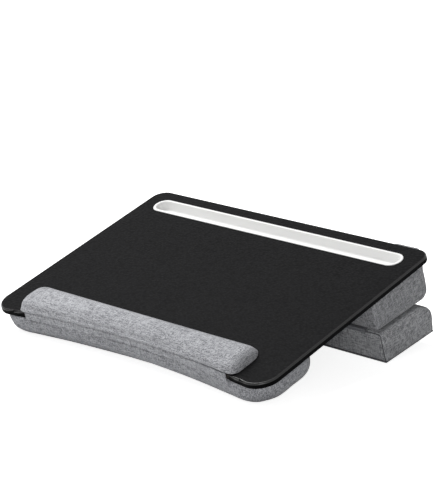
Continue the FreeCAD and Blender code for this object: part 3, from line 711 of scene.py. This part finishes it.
def fuller_ends(sizes, mesh):
    """Fill out the middle of each of the bolster's rear corners, and draw out its plumper right end."""
    place = on_board(coordinates(mesh))
    across = np.abs(place[:, 0]) - sizes.bolster_half
    across = np.maximum(across / sizes.bolster_corner + 1, 0)
    behind = np.maximum((place[:, 1] - sizes.bolster_rear) / sizes.bolster_corner + 1, 0)
    middle = 2 * across * behind / np.maximum(across**2 + behind**2, MM)
    push = middle**2 * sizes.bolster_corner_fill
    place[:, 1] += behind * push
    # The right end bows most between its corners.
    bow = 1 - (2 * place[:, 1] / sizes.bolster_rear - 1) ** 2
    far = ramp(place[:, 0], sizes.bolster_half / 2, sizes.bolster_half)
    place[:, 0] += np.sign(place[:, 0]) * across * push
    place[:, 0] += far * (sizes.bolster_right_fill + bow * sizes.bolster_right_bow)
    set_coordinates(mesh, off_board(place))


PANEL_EDGE = 0.8 * MM
STRIP_EDGE = 0.5 * MM
TAPE_EDGE = 0.35 * MM
CORD_EDGE = 0.5 * MM


def panel_mesh(sizes):
    """The lower cushion's bottom panel, with a soft rim: its top is the face, and it hangs below that."""

    def top(y):
        return lower_bottom(sizes, y)

    span = (sizes.lower_front, sizes.lower_rear, sizes.lower_half)
    return slab("riser_lower_panel", top, -sizes.lower_base, *span, PANEL_EDGE, 4 * MM)


def front_seam(sizes):
    """The seam round the lower cushion's front panel, up from one bottom corner and down to the other."""
    front = sizes.lower_front
    side = sizes.lower_half - sizes.lower_end_round * 0.3
    foot = lower_bottom(sizes, front)
    top = lower_top(sizes, front) - sizes.lower_front_round * 0.15
    corner = 8 * MM
    turns = np.linspace(0, math.pi / 2, 9)
    right = [(side, front, z) for z in np.linspace(foot, top - corner, 12)[:-1]]
    for turn in turns:
        x = side - corner + corner * math.cos(turn)
        right.append((x, front, top - corner + corner * math.sin(turn)))
    across = [(x, front, top) for x in np.linspace(side - corner, corner - side, 120)[1:-1]]
    left = [(-x, y, z) for x, y, z in reversed(right)]
    return right + across + left


def strip_mesh(name, sizes, underside):
    """One of the fastening strips, with a sloping underside."""
    span = (sizes.strip_front, sizes.strip_front + sizes.strip_width, sizes.strip_half)
    return slab(name, underside, sizes.strip_thickness, *span, STRIP_EDGE)


def upper_tape_mesh(sizes):
    """The hinge's upper leaf: glued under the upper cushion, then down to the fold line."""
    half = sizes.tape_thickness / 2
    front = sizes.hinge_y - half
    rear = sizes.hinge_y + half
    end = sizes.upper_front + sizes.tape_leaf
    foot = sizes.hinge_z + sizes.hinge_bead + 0.2 * MM
    corners = [
        (front, foot),
        (rear, foot),
        (rear, upper_bottom(sizes, rear) - 2 * half),
        (end, upper_bottom(sizes, end) - 2 * half),
        (end, upper_bottom(sizes, end)),
        (front, upper_bottom(sizes, front)),
    ]
    return thin_block("hinge_upper_leaf", corners, sizes.tape_half, TAPE_EDGE)


def lower_tape_mesh(sizes):
    """The hinge's cord, and the short leaf that sews it to the lower cushion's upper front edge."""
    turns = np.linspace(0, 2 * math.pi, 2 * CORD_SIDES, endpoint=False)
    y = sizes.hinge_y
    z = sizes.hinge_z
    bead = sizes.hinge_bead
    cord = np.column_stack((y + bead * np.cos(turns), z + bead * np.sin(turns)))
    half = sizes.tape_thickness / 2
    seat = sizes.lower_front + 0.4 * MM
    leaf = [(y, z - half), (seat, z - half), (seat, z + half), (y, z + half)]
    forms = [
        block("hinge_cord", cord, sizes.tape_half, CORD_EDGE, 4 * MM, caps=0),
        thin_block("hinge_lower_leaf", leaf, sizes.tape_half, TAPE_EDGE),
    ]
    return joined("hinge_lower_leaf", forms)


POCKET_ROWS = 12
# The ripples of the gathered elastic: their height, and the half turns from one point to the next.
RIPPLE = 0.25 * MM
RIPPLE_TURN = 0.7


def pocket_ring(sizes, height, inset):
    """The pen pocket's outline at a height, drawn in by the inset, as points in the board's frame."""
    back = sizes.upper_rear + 0.2 * MM
    depths = (sizes.pocket_foot_depth, sizes.pocket_mouth_depth)
    depth = between(height, sizes.pocket_foot, sizes.pocket_top, *depths)
    left = sizes.pocket_x - sizes.pocket_half
    right = sizes.pocket_x + sizes.pocket_half
    corner = 4 * MM
    outline = rounded_outline(
        [
            (left, back, 0.5 * MM),
            (left, back + sizes.pocket_mouth_depth, corner),
            (right, back + sizes.pocket_mouth_depth, corner),
            (right, back, 0.5 * MM),
        ],
        2 * MM,
    )
    into = inward(outline)
    outline[:, 1] = back + (outline[:, 1] - back) * depth / sizes.pocket_mouth_depth
    outline += into * inset
    return np.column_stack((outline, np.full(len(outline), height)))


def pocket_mesh(sizes):
    """A flared bag with a floor, as thick as its cloth."""
    heights = np.linspace(sizes.pocket_foot, sizes.pocket_top, POCKET_ROWS)
    outside = [pocket_ring(sizes, height, 0) for height in heights]
    inside = [pocket_ring(sizes, height, sizes.pocket_cloth) for height in heights[1:]]
    floor = pocket_ring(sizes, sizes.pocket_foot + sizes.pocket_cloth, sizes.pocket_cloth)
    return skin("pen_pocket_bag", outside + inside[::-1] + [floor])


def binding_mesh(sizes):
    """The elastic round the outside of the pocket's mouth, gathered in small ripples."""
    foot = sizes.pocket_top - sizes.binding_height
    lower = pocket_ring(sizes, foot, 0)
    upper = pocket_ring(sizes, sizes.pocket_top, 0)
    into = np.column_stack((inward(upper[:, :2]), np.zeros(len(upper))))
    around = upper[:, 1] > sizes.upper_rear + 2 * MM
    order = np.flatnonzero(around)
    rings = []
    for step, index in enumerate(order):
        ripple = RIPPLE * math.sin(step * math.pi * RIPPLE_TURN)
        out = -into[index] * (sizes.binding_thickness + ripple)
        rings.append(np.array((lower[index], lower[index] + out, upper[index] + out, upper[index])))
    return skin("pen_pocket_elastic", rings)


# Materials


def add_node(tree, kind, inputs=None, **settings):
    """Add a node, give it its settings, and fill or link its inputs."""
    node = tree.nodes.new(kind)
    for name, value in settings.items():
        setattr(node, name, value)
    for name, value in (inputs or {}).items():
        socket = node.inputs[name]
        if isinstance(value, bpy.types.NodeSocket):
            tree.links.new(value, socket)
        else:
            socket.default_value = value
    return node


def new_material(name, roughness, specular, ior=1.5):
    """A material with its surface shader, and the socket for a point's place in the board's frame."""
    material = bpy.data.materials.new(name)
    material.use_nodes = True
    tree = material.node_tree
    shader = tree.nodes["Principled BSDF"]
    shader.inputs["Roughness"].default_value = roughness
    shader.inputs["Specular IOR Level"].default_value = specular
    shader.inputs["IOR"].default_value = ior
    on_piece = add_node(tree, "ShaderNodeTexCoord").outputs["Object"]
    tilt = BOARD.to_euler().x
    place = add_node(tree, "ShaderNodeMapping", {"Vector": on_piece, "Rotation": (-tilt, 0, 0)})
    return material, tree, shader, place.outputs[0]


def measured(tree, place, lengths):
    """A point's place counted in the lengths along X, Y and Z."""
    counts = tuple(1 / size for size in lengths)
    scaled = add_node(tree, "ShaderNodeVectorMath", {0: place, 1: counts}, operation="MULTIPLY")
    return scaled.outputs[0]


def spots(tree, place, lengths, detail=2.0):
    """Soft spots as long as the lengths along X, Y and Z, from 0 to 1."""
    inputs = {"Vector": measured(tree, place, lengths), "Scale": 1.0, "Detail": detail}
    return add_node(tree, "ShaderNodeTexNoise", inputs).outputs["Fac"]


def shade(tint, share):
    """A colour made lighter or darker, as a shader's socket takes it."""
    return (*[min(channel * share, 1) for channel in tint], 1)


def finish(tree, shader, mix, height, strength, distance):
    """Give the surface a mix of two colours and a relief."""
    share, dark, light = mix
    blend = add_node(tree, "ShaderNodeMix", {0: share, 6: dark, 7: light}, data_type="RGBA")
    bumps = {"Height": height, "Strength": strength, "Distance": distance}
    relief = add_node(tree, "ShaderNodeBump", bumps)
    tree.links.new(blend.outputs[2], shader.inputs["Base Color"])
    tree.links.new(relief.outputs[0], shader.inputs["Normal"])


def linen(name, light, dark):
    """Plain-woven polyester linen: two tones of slubby thread, which give a matt, heathered grey."""
    made = bpy.data.materials.get(name)
    if made:
        return made
    sizes = bpy.context.scene.lap_desk_sizes
    material, tree, shader, place = new_material(name, roughness=0.92, specular=0.2)
    thread = sizes.thread
    slub = sizes.slub
    # Each face of a cushion shows the threads along two of the axes, and the third as flecks.
    along_x = spots(tree, place, (slub, thread, thread))
    along_y = spots(tree, place, (thread, slub, thread))
    along_z = spots(tree, place, (thread, thread, slub))
    cloud = spots(tree, place, (70 * MM, 70 * MM, 70 * MM))
    crossed = add_node(tree, "ShaderNodeMath", {0: along_x, 1: along_y}, operation="ADD")
    weave = add_node(tree, "ShaderNodeMath", {0: crossed.outputs[0], 1: along_z}, operation="ADD")
    woven = weave.outputs[0]
    tone = add_node(tree, "ShaderNodeMath", {0: cloud, 1: 0.2, 2: woven}, operation="MULTIPLY_ADD")
    # The middle of what the threads and the cloud add up to, so that both tones show.
    middle = {"Value": tone.outputs[0], "From Min": 1.38, "From Max": 1.82}
    share = add_node(tree, "ShaderNodeMapRange", middle).outputs[0]
    finish(tree, shader, (share, shade(dark, 1), shade(light, 1)), woven, 0.4, 0.5 * MM)
    shader.inputs["Sheen Weight"].default_value = 0.1
    shader.inputs["Sheen Roughness"].default_value = 0.6
    return material


def leatherette(name, tint, roughness, specular, relief):
    """Embossed polyurethane on cloth: near-black, with a pebble that breaks up a soft sheen.

    Where it is turned over the board's edge it is stretched smooth, and takes a brighter gloss.
    """
    grain = bpy.context.scene.lap_desk_sizes.grain
    material, tree, shader, place = new_material(name, roughness, specular)
    # The cells lie lengthwise, as the roll that embossed them ran.
    drawn = measured(tree, place, (2 * grain, grain, grain))
    pebble = {"Vector": drawn, "Scale": 1.0, "Randomness": 0.9}
    cells = add_node(tree, "ShaderNodeTexVoronoi", pebble, feature="SMOOTH_F1").outputs["Distance"]
    worn = spots(tree, place, (45 * MM, 45 * MM, 45 * MM))
    wear = {"Value": worn, "From Min": 0.3, "From Max": 0.7}
    wear["To Min"] = roughness - 0.02
    wear["To Max"] = roughness + 0.03
    dull = add_node(tree, "ShaderNodeMapRange", wear)
    tree.links.new(dull.outputs[0], shader.inputs["Roughness"])
    # Painted shade and dust: each cell runs from lighter than the tint in its middle to near-black at its
    # rim, so that the emboss shows.
    finish(tree, shader, (cells, shade(tint, 1.7), shade(tint, 0.1)), cells, relief, 0.5 * MM)
    return material


def moulded_plastic(tint):
    """Injection-moulded ABS: white with a faint eroded texture, which gives a broad, soft gloss."""
    material, tree, shader, place = new_material("moulded_abs", roughness=0.36, specular=0.5, ior=1.53)
    eroded = spots(tree, place, (0.8 * MM, 0.8 * MM, 0.8 * MM), 3.0)
    flow = spots(tree, place, (90 * MM, 20 * MM, 20 * MM))
    finish(tree, shader, (flow, shade(tint, 0.97), shade(tint, 1)), eroded, 0.06, 0.1 * MM)
    return material


def felt(name, tint):
    """Needle-punched or brushed cloth: matted fibres that run no one way, which take all gloss away."""
    material, tree, shader, place = new_material(name, roughness=0.97, specular=0.1)
    fibres = spots(tree, place, (1.6 * MM, 1.6 * MM, 1.6 * MM), 5.0)
    finish(tree, shader, (fibres, shade(tint, 0.5), shade(tint, 1.6)), fibres, 0.5, 0.4 * MM)
    return material


def webbing(name, tint, rib, roughness):
    """Woven nylon tape: ribs across its length, which catch the light in fine lines."""
    material, tree, shader, place = new_material(name, roughness, specular=0.25)
    # A wave repeats at pi / 10 over its scale.
    wave = {"Vector": place, "Scale": math.pi / 10 / rib, "Distortion": 0.6, "Detail": 1.0}
    ribs = add_node(tree, "ShaderNodeTexWave", wave, bands_direction="X").outputs["Fac"]
    # Painted light and shade: the ribs are lighter and darker in colour as well as in relief.
    finish(tree, shader, (ribs, shade(tint, 0.5), shade(tint, 1.3)), ribs, 0.6, 0.3 * MM)
    return material


def fibreboard(tint):
    """Medium-density fibreboard: pressed fibres dyed near-black, speckled and matt where it is cut."""
    material, tree, shader, place = new_material("medium_density_fibreboard", roughness=0.9, specular=0.3)
    fibres = spots(tree, place, (1.2 * MM, 1.2 * MM, 1.2 * MM), 4.0)
    finish(tree, shader, (fibres, shade(tint, 0.7), shade(tint, 1.15)), fibres, 0.3, 0.2 * MM)
    return material


def dress(node, material):
    """Give one of the frame's own pieces its finish."""
    mesh = frame["nodes"][node].data
    mesh.materials.clear()
    mesh.materials.append(material)


# Painted shade and light: all four are one linen. The wrist rest's tone is the cloth's own; the bolster's
# and the upper cushion's are painted shade, and the lower cushion's is painted lighter than the upper's for
# the light that the floor throws up.
LINEN_PAINTED_TONES = {"rest": "pale", "bolster": "mid", "upper": "dark", "lower": "grey"}


def cushion_linen(context, cushion):
    """The linen in the tone of one of the cushions: the wrist rest shows the cloth's own tone, and the
    others have painted shade and light in theirs.
    """
    colours = context.scene.lap_desk_colours
    light = getattr(colours, f"{cushion}_light")
    dark = getattr(colours, f"{cushion}_dark")
    return linen(f"heathered_linen_{LINEN_PAINTED_TONES[cushion]}", light, dark)


def riser_free(sizes, place, from_edge, mating):
    """How free the points of a rear cushion's cover are.

    They aren't where it is glued or sewn, and little where it rests on the other cushion. Mating is how
    far they face that one. Beyond the hinge's ends the cushions swell towards each other.
    """
    past_hinge = ramp(np.abs(place[:, 0]), sizes.tape_half - 10 * MM, sizes.tape_half + 5 * MM)
    held = 0.8 - 0.5 * past_hinge
    return ramp(from_edge, 0, GLUE_BAND) * (1 - held * ramp(mating, 0.5, 0.9))


# Operators


# A face of the board's cover that rises more is level, and one that rises less is its side.
LEVEL_RISE = 0.97
SIDE_RISE = 0.1


class LAPDESK_OT_board(bpy.types.Operator):
    """Make the board's leatherette cover and lining, and finish its core"""

    bl_idname = "lapdesk.board"
    bl_label = "Board"

    def execute(self, context):
        colours = context.scene.lap_desk_colours
        dress("board_core", fibreboard(colours.fibreboard))
        tint = colours.leatherette
        cover = new_piece(
            "leatherette_cover",
            cover_mesh(context.scene.lap_desk_sizes),
            "desk",
            leatherette("polyurethane_leatherette", tint, 0.45, 0.02, 0.9),
            ["top_cover"],
        )
        # Painted shade: the turned edge and the side take a quarter of the top's colour, as the board's
        # edge looks darker than its top.
        shaded_edge_tint = shade(tint, 0.25)[:3]
        cover.data.materials.append(leatherette("polyurethane_turned_edge", shaded_edge_tint, 0.26, 0.4, 0.06))
        cover.data.materials.append(leatherette("polyurethane_side", shaded_edge_tint, 0.5, 0.015, 0.3))
        up = BOARD.to_3x3().col[2]
        for face in cover.data.polygons:
            rise = face.normal @ up
            face.material_index = 0 if rise > LEVEL_RISE else 1 if rise > SIDE_RISE else 2
        cover.data.set_sharp_from_angle(angle=math.radians(40))
        lining = felt("needle_punched_lining", colours.lining)
        mesh = welded("lining_cloth", "under_lining")
        new_piece("lining_cloth", mesh, "desk", lining, ["under_lining"])
        return {"FINISHED"}


class LAPDESK_OT_phone_tray(bpy.types.Operator):
    """Finish the moulded tray that a phone stands in"""

    bl_idname = "lapdesk.phone_tray"
    bl_label = "Phone tray"

    def execute(self, context):
        dress("phone_tray", moulded_plastic(context.scene.lap_desk_colours.plastic))
        return {"FINISHED"}


class LAPDESK_OT_wrist_rest(bpy.types.Operator):
    """Make the padded wrist rest and its flap over the board's front edge"""

    bl_idname = "lapdesk.wrist_rest"
    bl_label = "Wrist rest"

    def execute(self, context):
        sizes = context.scene.lap_desk_sizes
        nodes = ("wrist_rest_cover", "wrist_rest_foam")
        cloth = cushion_linen(context, "rest")
        piece = new_piece("wrist_rest", pad_mesh(sizes), "desk", cloth, nodes)
        height = on_board(coordinates(piece.data))[:, 2]
        free = ramp(height, sizes.core_top, sizes.core_top + GLUE_BAND)
        filled(piece, sizes.tuck, sizes.rest_swell, free, FIRM_PRESSURE)
        finer(piece)
        place = on_board(coordinates(piece.data))
        front = ramp(-facing(piece.data)[:, 1], 0.1, 0.8) * ramp(place[:, 2], sizes.core_top, 3 * MM)
        folded(piece, 1.3 * MM, (150 * MM, 11 * MM, 6 * MM), front)
        piece.data = joined("wrist_rest", [piece.data.copy(), flap_mesh(sizes)])
        piece.data.materials.clear()
        piece.data.materials.append(cloth)
        piece.data.shade_smooth()
        return {"FINISHED"}


class LAPDESK_OT_front_bolster(bpy.types.Operator):
    """Make the padded bolster under the board's front edge"""

    bl_idname = "lapdesk.front_bolster"
    bl_label = "Front bolster"

    def execute(self, context):
        sizes = context.scene.lap_desk_sizes
        nodes = ("front_bolster_cover", "front_bolster_foam")
        mesh = even_cover("front_bolster", nodes, sizes.spacing * 0.8)
        fuller_ends(sizes, mesh)
        cloth = cushion_linen(context, "bolster")
        piece = new_piece("front_bolster", mesh, "desk", cloth, nodes)
        depth = sizes.underside - on_board(coordinates(mesh))[:, 2]
        filled(piece, sizes.tuck, sizes.bolster_swell, ramp(depth, 0, GLUE_BAND), FIRM_PRESSURE)
        finer(piece)
        depth = sizes.underside - on_board(coordinates(piece.data))[:, 2]
        front = ramp(-facing(piece.data)[:, 1], 0, 0.7) * ramp(depth, 0, 4 * MM)
        folded(piece, 1.5 * MM, (150 * MM, 12 * MM, 8 * MM), front)
        points = coordinates(piece.data)
        # Its underside is pressed flat where it stands.
        points[:, 2] = np.maximum(points[:, 2], 0.2 * MM)
        set_coordinates(piece.data, points)
        return {"FINISHED"}


class LAPDESK_OT_upper_riser(bpy.types.Operator):
    """Make the padded wedge cushion under the board's rear edge"""

    bl_idname = "lapdesk.upper_riser"
    bl_label = "Upper rear cushion"

    def execute(self, context):
        sizes = context.scene.lap_desk_sizes
        nodes = ("riser_upper_cover", "riser_upper_foam")
        cloth = cushion_linen(context, "upper")
        piece = new_piece("riser_upper", upper_mesh(sizes), "desk", cloth, nodes)
        place = on_board(coordinates(piece.data))
        upward = facing(piece.data)[:, 2]
        free = riser_free(sizes, place, sizes.underside - place[:, 2], -upward)
        filled(piece, sizes.tuck, sizes.riser_swell, free * (1 - ramp(upward, 0.05, 0.3)))
        finer(piece)
        return {"FINISHED"}


class LAPDESK_OT_lower_riser(bpy.types.Operator):
    """Make the padded lower cushion that folds forward, with its front seam, and finish its base"""

    bl_idname = "lapdesk.lower_riser"
    bl_label = "Lower rear cushion"

    def execute(self, context):
        sizes = context.scene.lap_desk_sizes
        colours = context.scene.lap_desk_colours
        nodes = ("riser_lower_cover", "riser_lower_foam")
        cloth = cushion_linen(context, "lower")
        piece = new_piece("riser_lower", lower_mesh(sizes), "lower_riser", cloth, nodes)
        place = on_board(coordinates(piece.data))
        height = place[:, 2] - lower_bottom(sizes, place[:, 1])
        free = riser_free(sizes, place, height, facing(piece.data)[:, 2])
        filled(piece, sizes.tuck, sizes.riser_swell, free)
        finer(piece)
        seam = sewn_cord("riser_lower_seam", front_seam(sizes), sizes.seam_cord, piece)
        thread = webbing("sewn_edge", colours.seam, 1.6 * MM, 0.8)
        new_piece("riser_lower_seam", seam, "lower_riser", thread)
        brushed = felt("brushed_base_cloth", colours.base)
        panel = panel_mesh(sizes)
        nodes = ["riser_lower_base"]
        new_piece("riser_lower_panel", panel, "lower_riser", brushed, nodes)
        return {"FINISHED"}


class LAPDESK_OT_fastenings(bpy.types.Operator):
    """Make the hook and loop strips and the cloth hinge between the rear cushions"""

    bl_idname = "lapdesk.fastenings"
    bl_label = "Fastenings"

    def execute(self, context):
        sizes = context.scene.lap_desk_sizes
        colours = context.scene.lap_desk_colours
        pile = felt("nylon_hook_and_loop", colours.webbing)
        tape = webbing("nylon_hinge_tape", colours.tape, 1.5 * MM, 0.8)

        def hook_underside(y):
            return upper_bottom(sizes, y) - sizes.strip_thickness

        def loop_underside(y):
            return lower_top(sizes, y)

        hook = strip_mesh("hook_tape", sizes, hook_underside)
        loop = strip_mesh("loop_tape", sizes, loop_underside)
        new_piece("hook_tape", hook, "desk", pile, ["hook_strip"])
        new_piece("loop_tape", loop, "lower_riser", pile, ["loop_strip"])
        upper = upper_tape_mesh(sizes)
        lower = lower_tape_mesh(sizes)
        new_piece("hinge_upper_leaf", upper, "desk", tape, ["hinge_tape_upper"])
        new_piece("hinge_lower_leaf", lower, "lower_riser", tape, ["hinge_tape_lower"])
        return {"FINISHED"}


class LAPDESK_OT_pen_pocket(bpy.types.Operator):
    """Make the flared cloth pocket behind the rear edge and its elastic binding"""

    bl_idname = "lapdesk.pen_pocket"
    bl_label = "Pen pocket"

    def execute(self, context):
        sizes = context.scene.lap_desk_sizes
        # The pocket takes the upper cushion's tone, painted shade included.
        cloth = cushion_linen(context, "upper")
        elastic = webbing("woven_elastic", context.scene.lap_desk_colours.webbing, 1.2 * MM, 0.6)
        bag = pocket_mesh(sizes)
        band = binding_mesh(sizes)
        new_piece("pen_pocket_bag", bag, "desk", cloth, ["pen_pocket"])
        new_piece("pen_pocket_elastic", band, "desk", elastic, ["pen_pocket_binding"])
        for mesh in (bag, band):
            mesh.set_sharp_from_angle(angle=math.radians(50))
        return {"FINISHED"}


FLOOR_REACH = 12.0
FLOOR_GLOW = 0.85
WORLD_LIGHT = 0.2
# Each soft lamp's name, place, width and power.
LAMPS = (
    ("key", (-1.1, -0.15, 2.35), 2.0, 77),
    ("fill", (1.6, -2.0, 0.5), 1.2, 17),
)
LAMP_TARGET = (0, 0, 0.1)
CAMERA_TARGET = (0.0409, -0.0292, 0.1452)
CAMERA_DISTANCE = 2.77
CAMERA_AZIMUTH = 43.917
CAMERA_ELEVATION = 16.629
CAMERA_ROLL = -1.439
CAMERA_LENS = 145.45


class LAPDESK_OT_stage(bpy.types.Operator):
    """Set up the floor, the soft studio light and the camera"""

    bl_idname = "lapdesk.stage"
    bl_label = "Stage"

    def execute(self, context):
        scene = context.scene
        scene.view_settings.view_transform = "Standard"
        self.make_floor(scene)
        self.make_lights(scene)
        self.make_camera(scene)
        return {"FINISHED"}

    def make_floor(self, scene):
        mesh = bpy.data.meshes.new("studio_floor")
        corners = [(-1, -1), (1, -1), (1, 1), (-1, 1)]
        mesh.from_pydata([(x * FLOOR_REACH, y * FLOOR_REACH, 0) for x, y in corners], [], [(0, 1, 2, 3)])
        floor = bpy.data.objects.new("studio_floor", mesh)
        scene.collection.objects.link(floor)
        material, tree, shader, _ = new_material("studio_paper", roughness=0.9, specular=0.0)
        shader.inputs["Base Color"].default_value = shade(scene.lap_desk_colours.floor, 1)
        # The paper looks white to the camera and in reflections, however far the lamps are, and still
        # takes the desk's shadow.
        shader.inputs["Emission Color"].default_value = (1, 1, 1, 1)
        tree.links.new(self.seen(tree, FLOOR_GLOW, 0), shader.inputs["Emission Strength"])
        mesh.materials.append(material)

    def seen(self, tree, shown, otherwise):
        """A strength for rays that show a surface itself or its reflection, and another for the rest."""
        ray = add_node(tree, "ShaderNodeLightPath").outputs
        total = ray["Is Camera Ray"]
        for kind in ("Is Glossy Ray", "Is Transmission Ray"):
            both = {0: total, 1: ray[kind]}
            total = add_node(tree, "ShaderNodeMath", both, operation="ADD").outputs[0]
        strengths = {"Value": total, "To Min": otherwise, "To Max": shown}
        return add_node(tree, "ShaderNodeMapRange", strengths).outputs[0]

    def make_lights(self, scene):
        world = bpy.data.worlds.new("studio")
        scene.world = world
        world.use_nodes = True
        tree = world.node_tree
        background = tree.nodes["Background"]
        background.inputs["Color"].default_value = (1, 1, 1, 1)
        tree.links.new(self.seen(tree, 1.0, WORLD_LIGHT), background.inputs["Strength"])
        for lamp in LAMPS:
            self.area_light(scene, *lamp)

    def area_light(self, scene, name, place, width, power):
        lamp = bpy.data.lights.new(name, "AREA")
        lamp.shape = "DISK"
        lamp.size = width
        lamp.energy = power
        light = bpy.data.objects.new(name, lamp)
        light.location = place
        aim = Vector(LAMP_TARGET) - Vector(place)
        light.rotation_euler = aim.to_track_quat("-Z", "Y").to_euler()
        scene.collection.objects.link(light)

    def make_camera(self, scene):
        azimuth = math.radians(CAMERA_AZIMUTH)
        elevation = math.radians(CAMERA_ELEVATION)
        turn = Matrix.Rotation(azimuth, 4, "Z") @ Matrix.Rotation(math.pi / 2 - elevation, 4, "X")
        lens = bpy.data.cameras.new("camera")
        lens.lens = CAMERA_LENS
        lens.clip_end = 100
        camera = bpy.data.objects.new("camera", lens)
        place = Vector(CAMERA_TARGET) + turn.to_3x3() @ Vector((0, 0, CAMERA_DISTANCE))
        roll = Matrix.Rotation(math.radians(CAMERA_ROLL), 4, "Z")
        camera.matrix_world = Matrix.Translation(place) @ turn @ roll
        scene.collection.objects.link(camera)
        scene.camera = camera


OPERATORS = (
    LAPDESK_OT_board,
    LAPDESK_OT_phone_tray,
    LAPDESK_OT_wrist_rest,
    LAPDESK_OT_front_bolster,
    LAPDESK_OT_upper_riser,
    LAPDESK_OT_lower_riser,
    LAPDESK_OT_fastenings,
    LAPDESK_OT_pen_pocket,
    LAPDESK_OT_stage,
)


class LAPDESK_PT_sidebar(bpy.types.Panel):
    """Lists the desk's pieces"""

    bl_idname = "LAPDESK_PT_sidebar"
    bl_label = "Lap desk"
    bl_space_type = "VIEW_3D"
    bl_region_type = "UI"
    bl_category = "Lap desk"

    def draw(self, context):
        for operator in OPERATORS:
            self.layout.operator(operator.bl_idname)


CLASSES = (LapDeskColours, LapDeskSizes, *OPERATORS, LAPDESK_PT_sidebar)


def register():
    for item in CLASSES:
        bpy.utils.register_class(item)
    bpy.types.Scene.lap_desk_colours = bpy.props.PointerProperty(type=LapDeskColours)
    bpy.types.Scene.lap_desk_sizes = bpy.props.PointerProperty(type=LapDeskSizes)


def unregister():
    del bpy.types.Scene.lap_desk_colours
    del bpy.types.Scene.lap_desk_sizes
    for item in reversed(CLASSES):
        bpy.utils.unregister_class(item)


def main():
    register()
    bpy.ops.lapdesk.board()
    bpy.ops.lapdesk.phone_tray()
    bpy.ops.lapdesk.wrist_rest()
    bpy.ops.lapdesk.front_bolster()
    bpy.ops.lapdesk.upper_riser()
    bpy.ops.lapdesk.lower_riser()
    bpy.ops.lapdesk.fastenings()
    bpy.ops.lapdesk.pen_pocket()
    bpy.ops.lapdesk.stage()


if __name__ == "__main__":
    main()
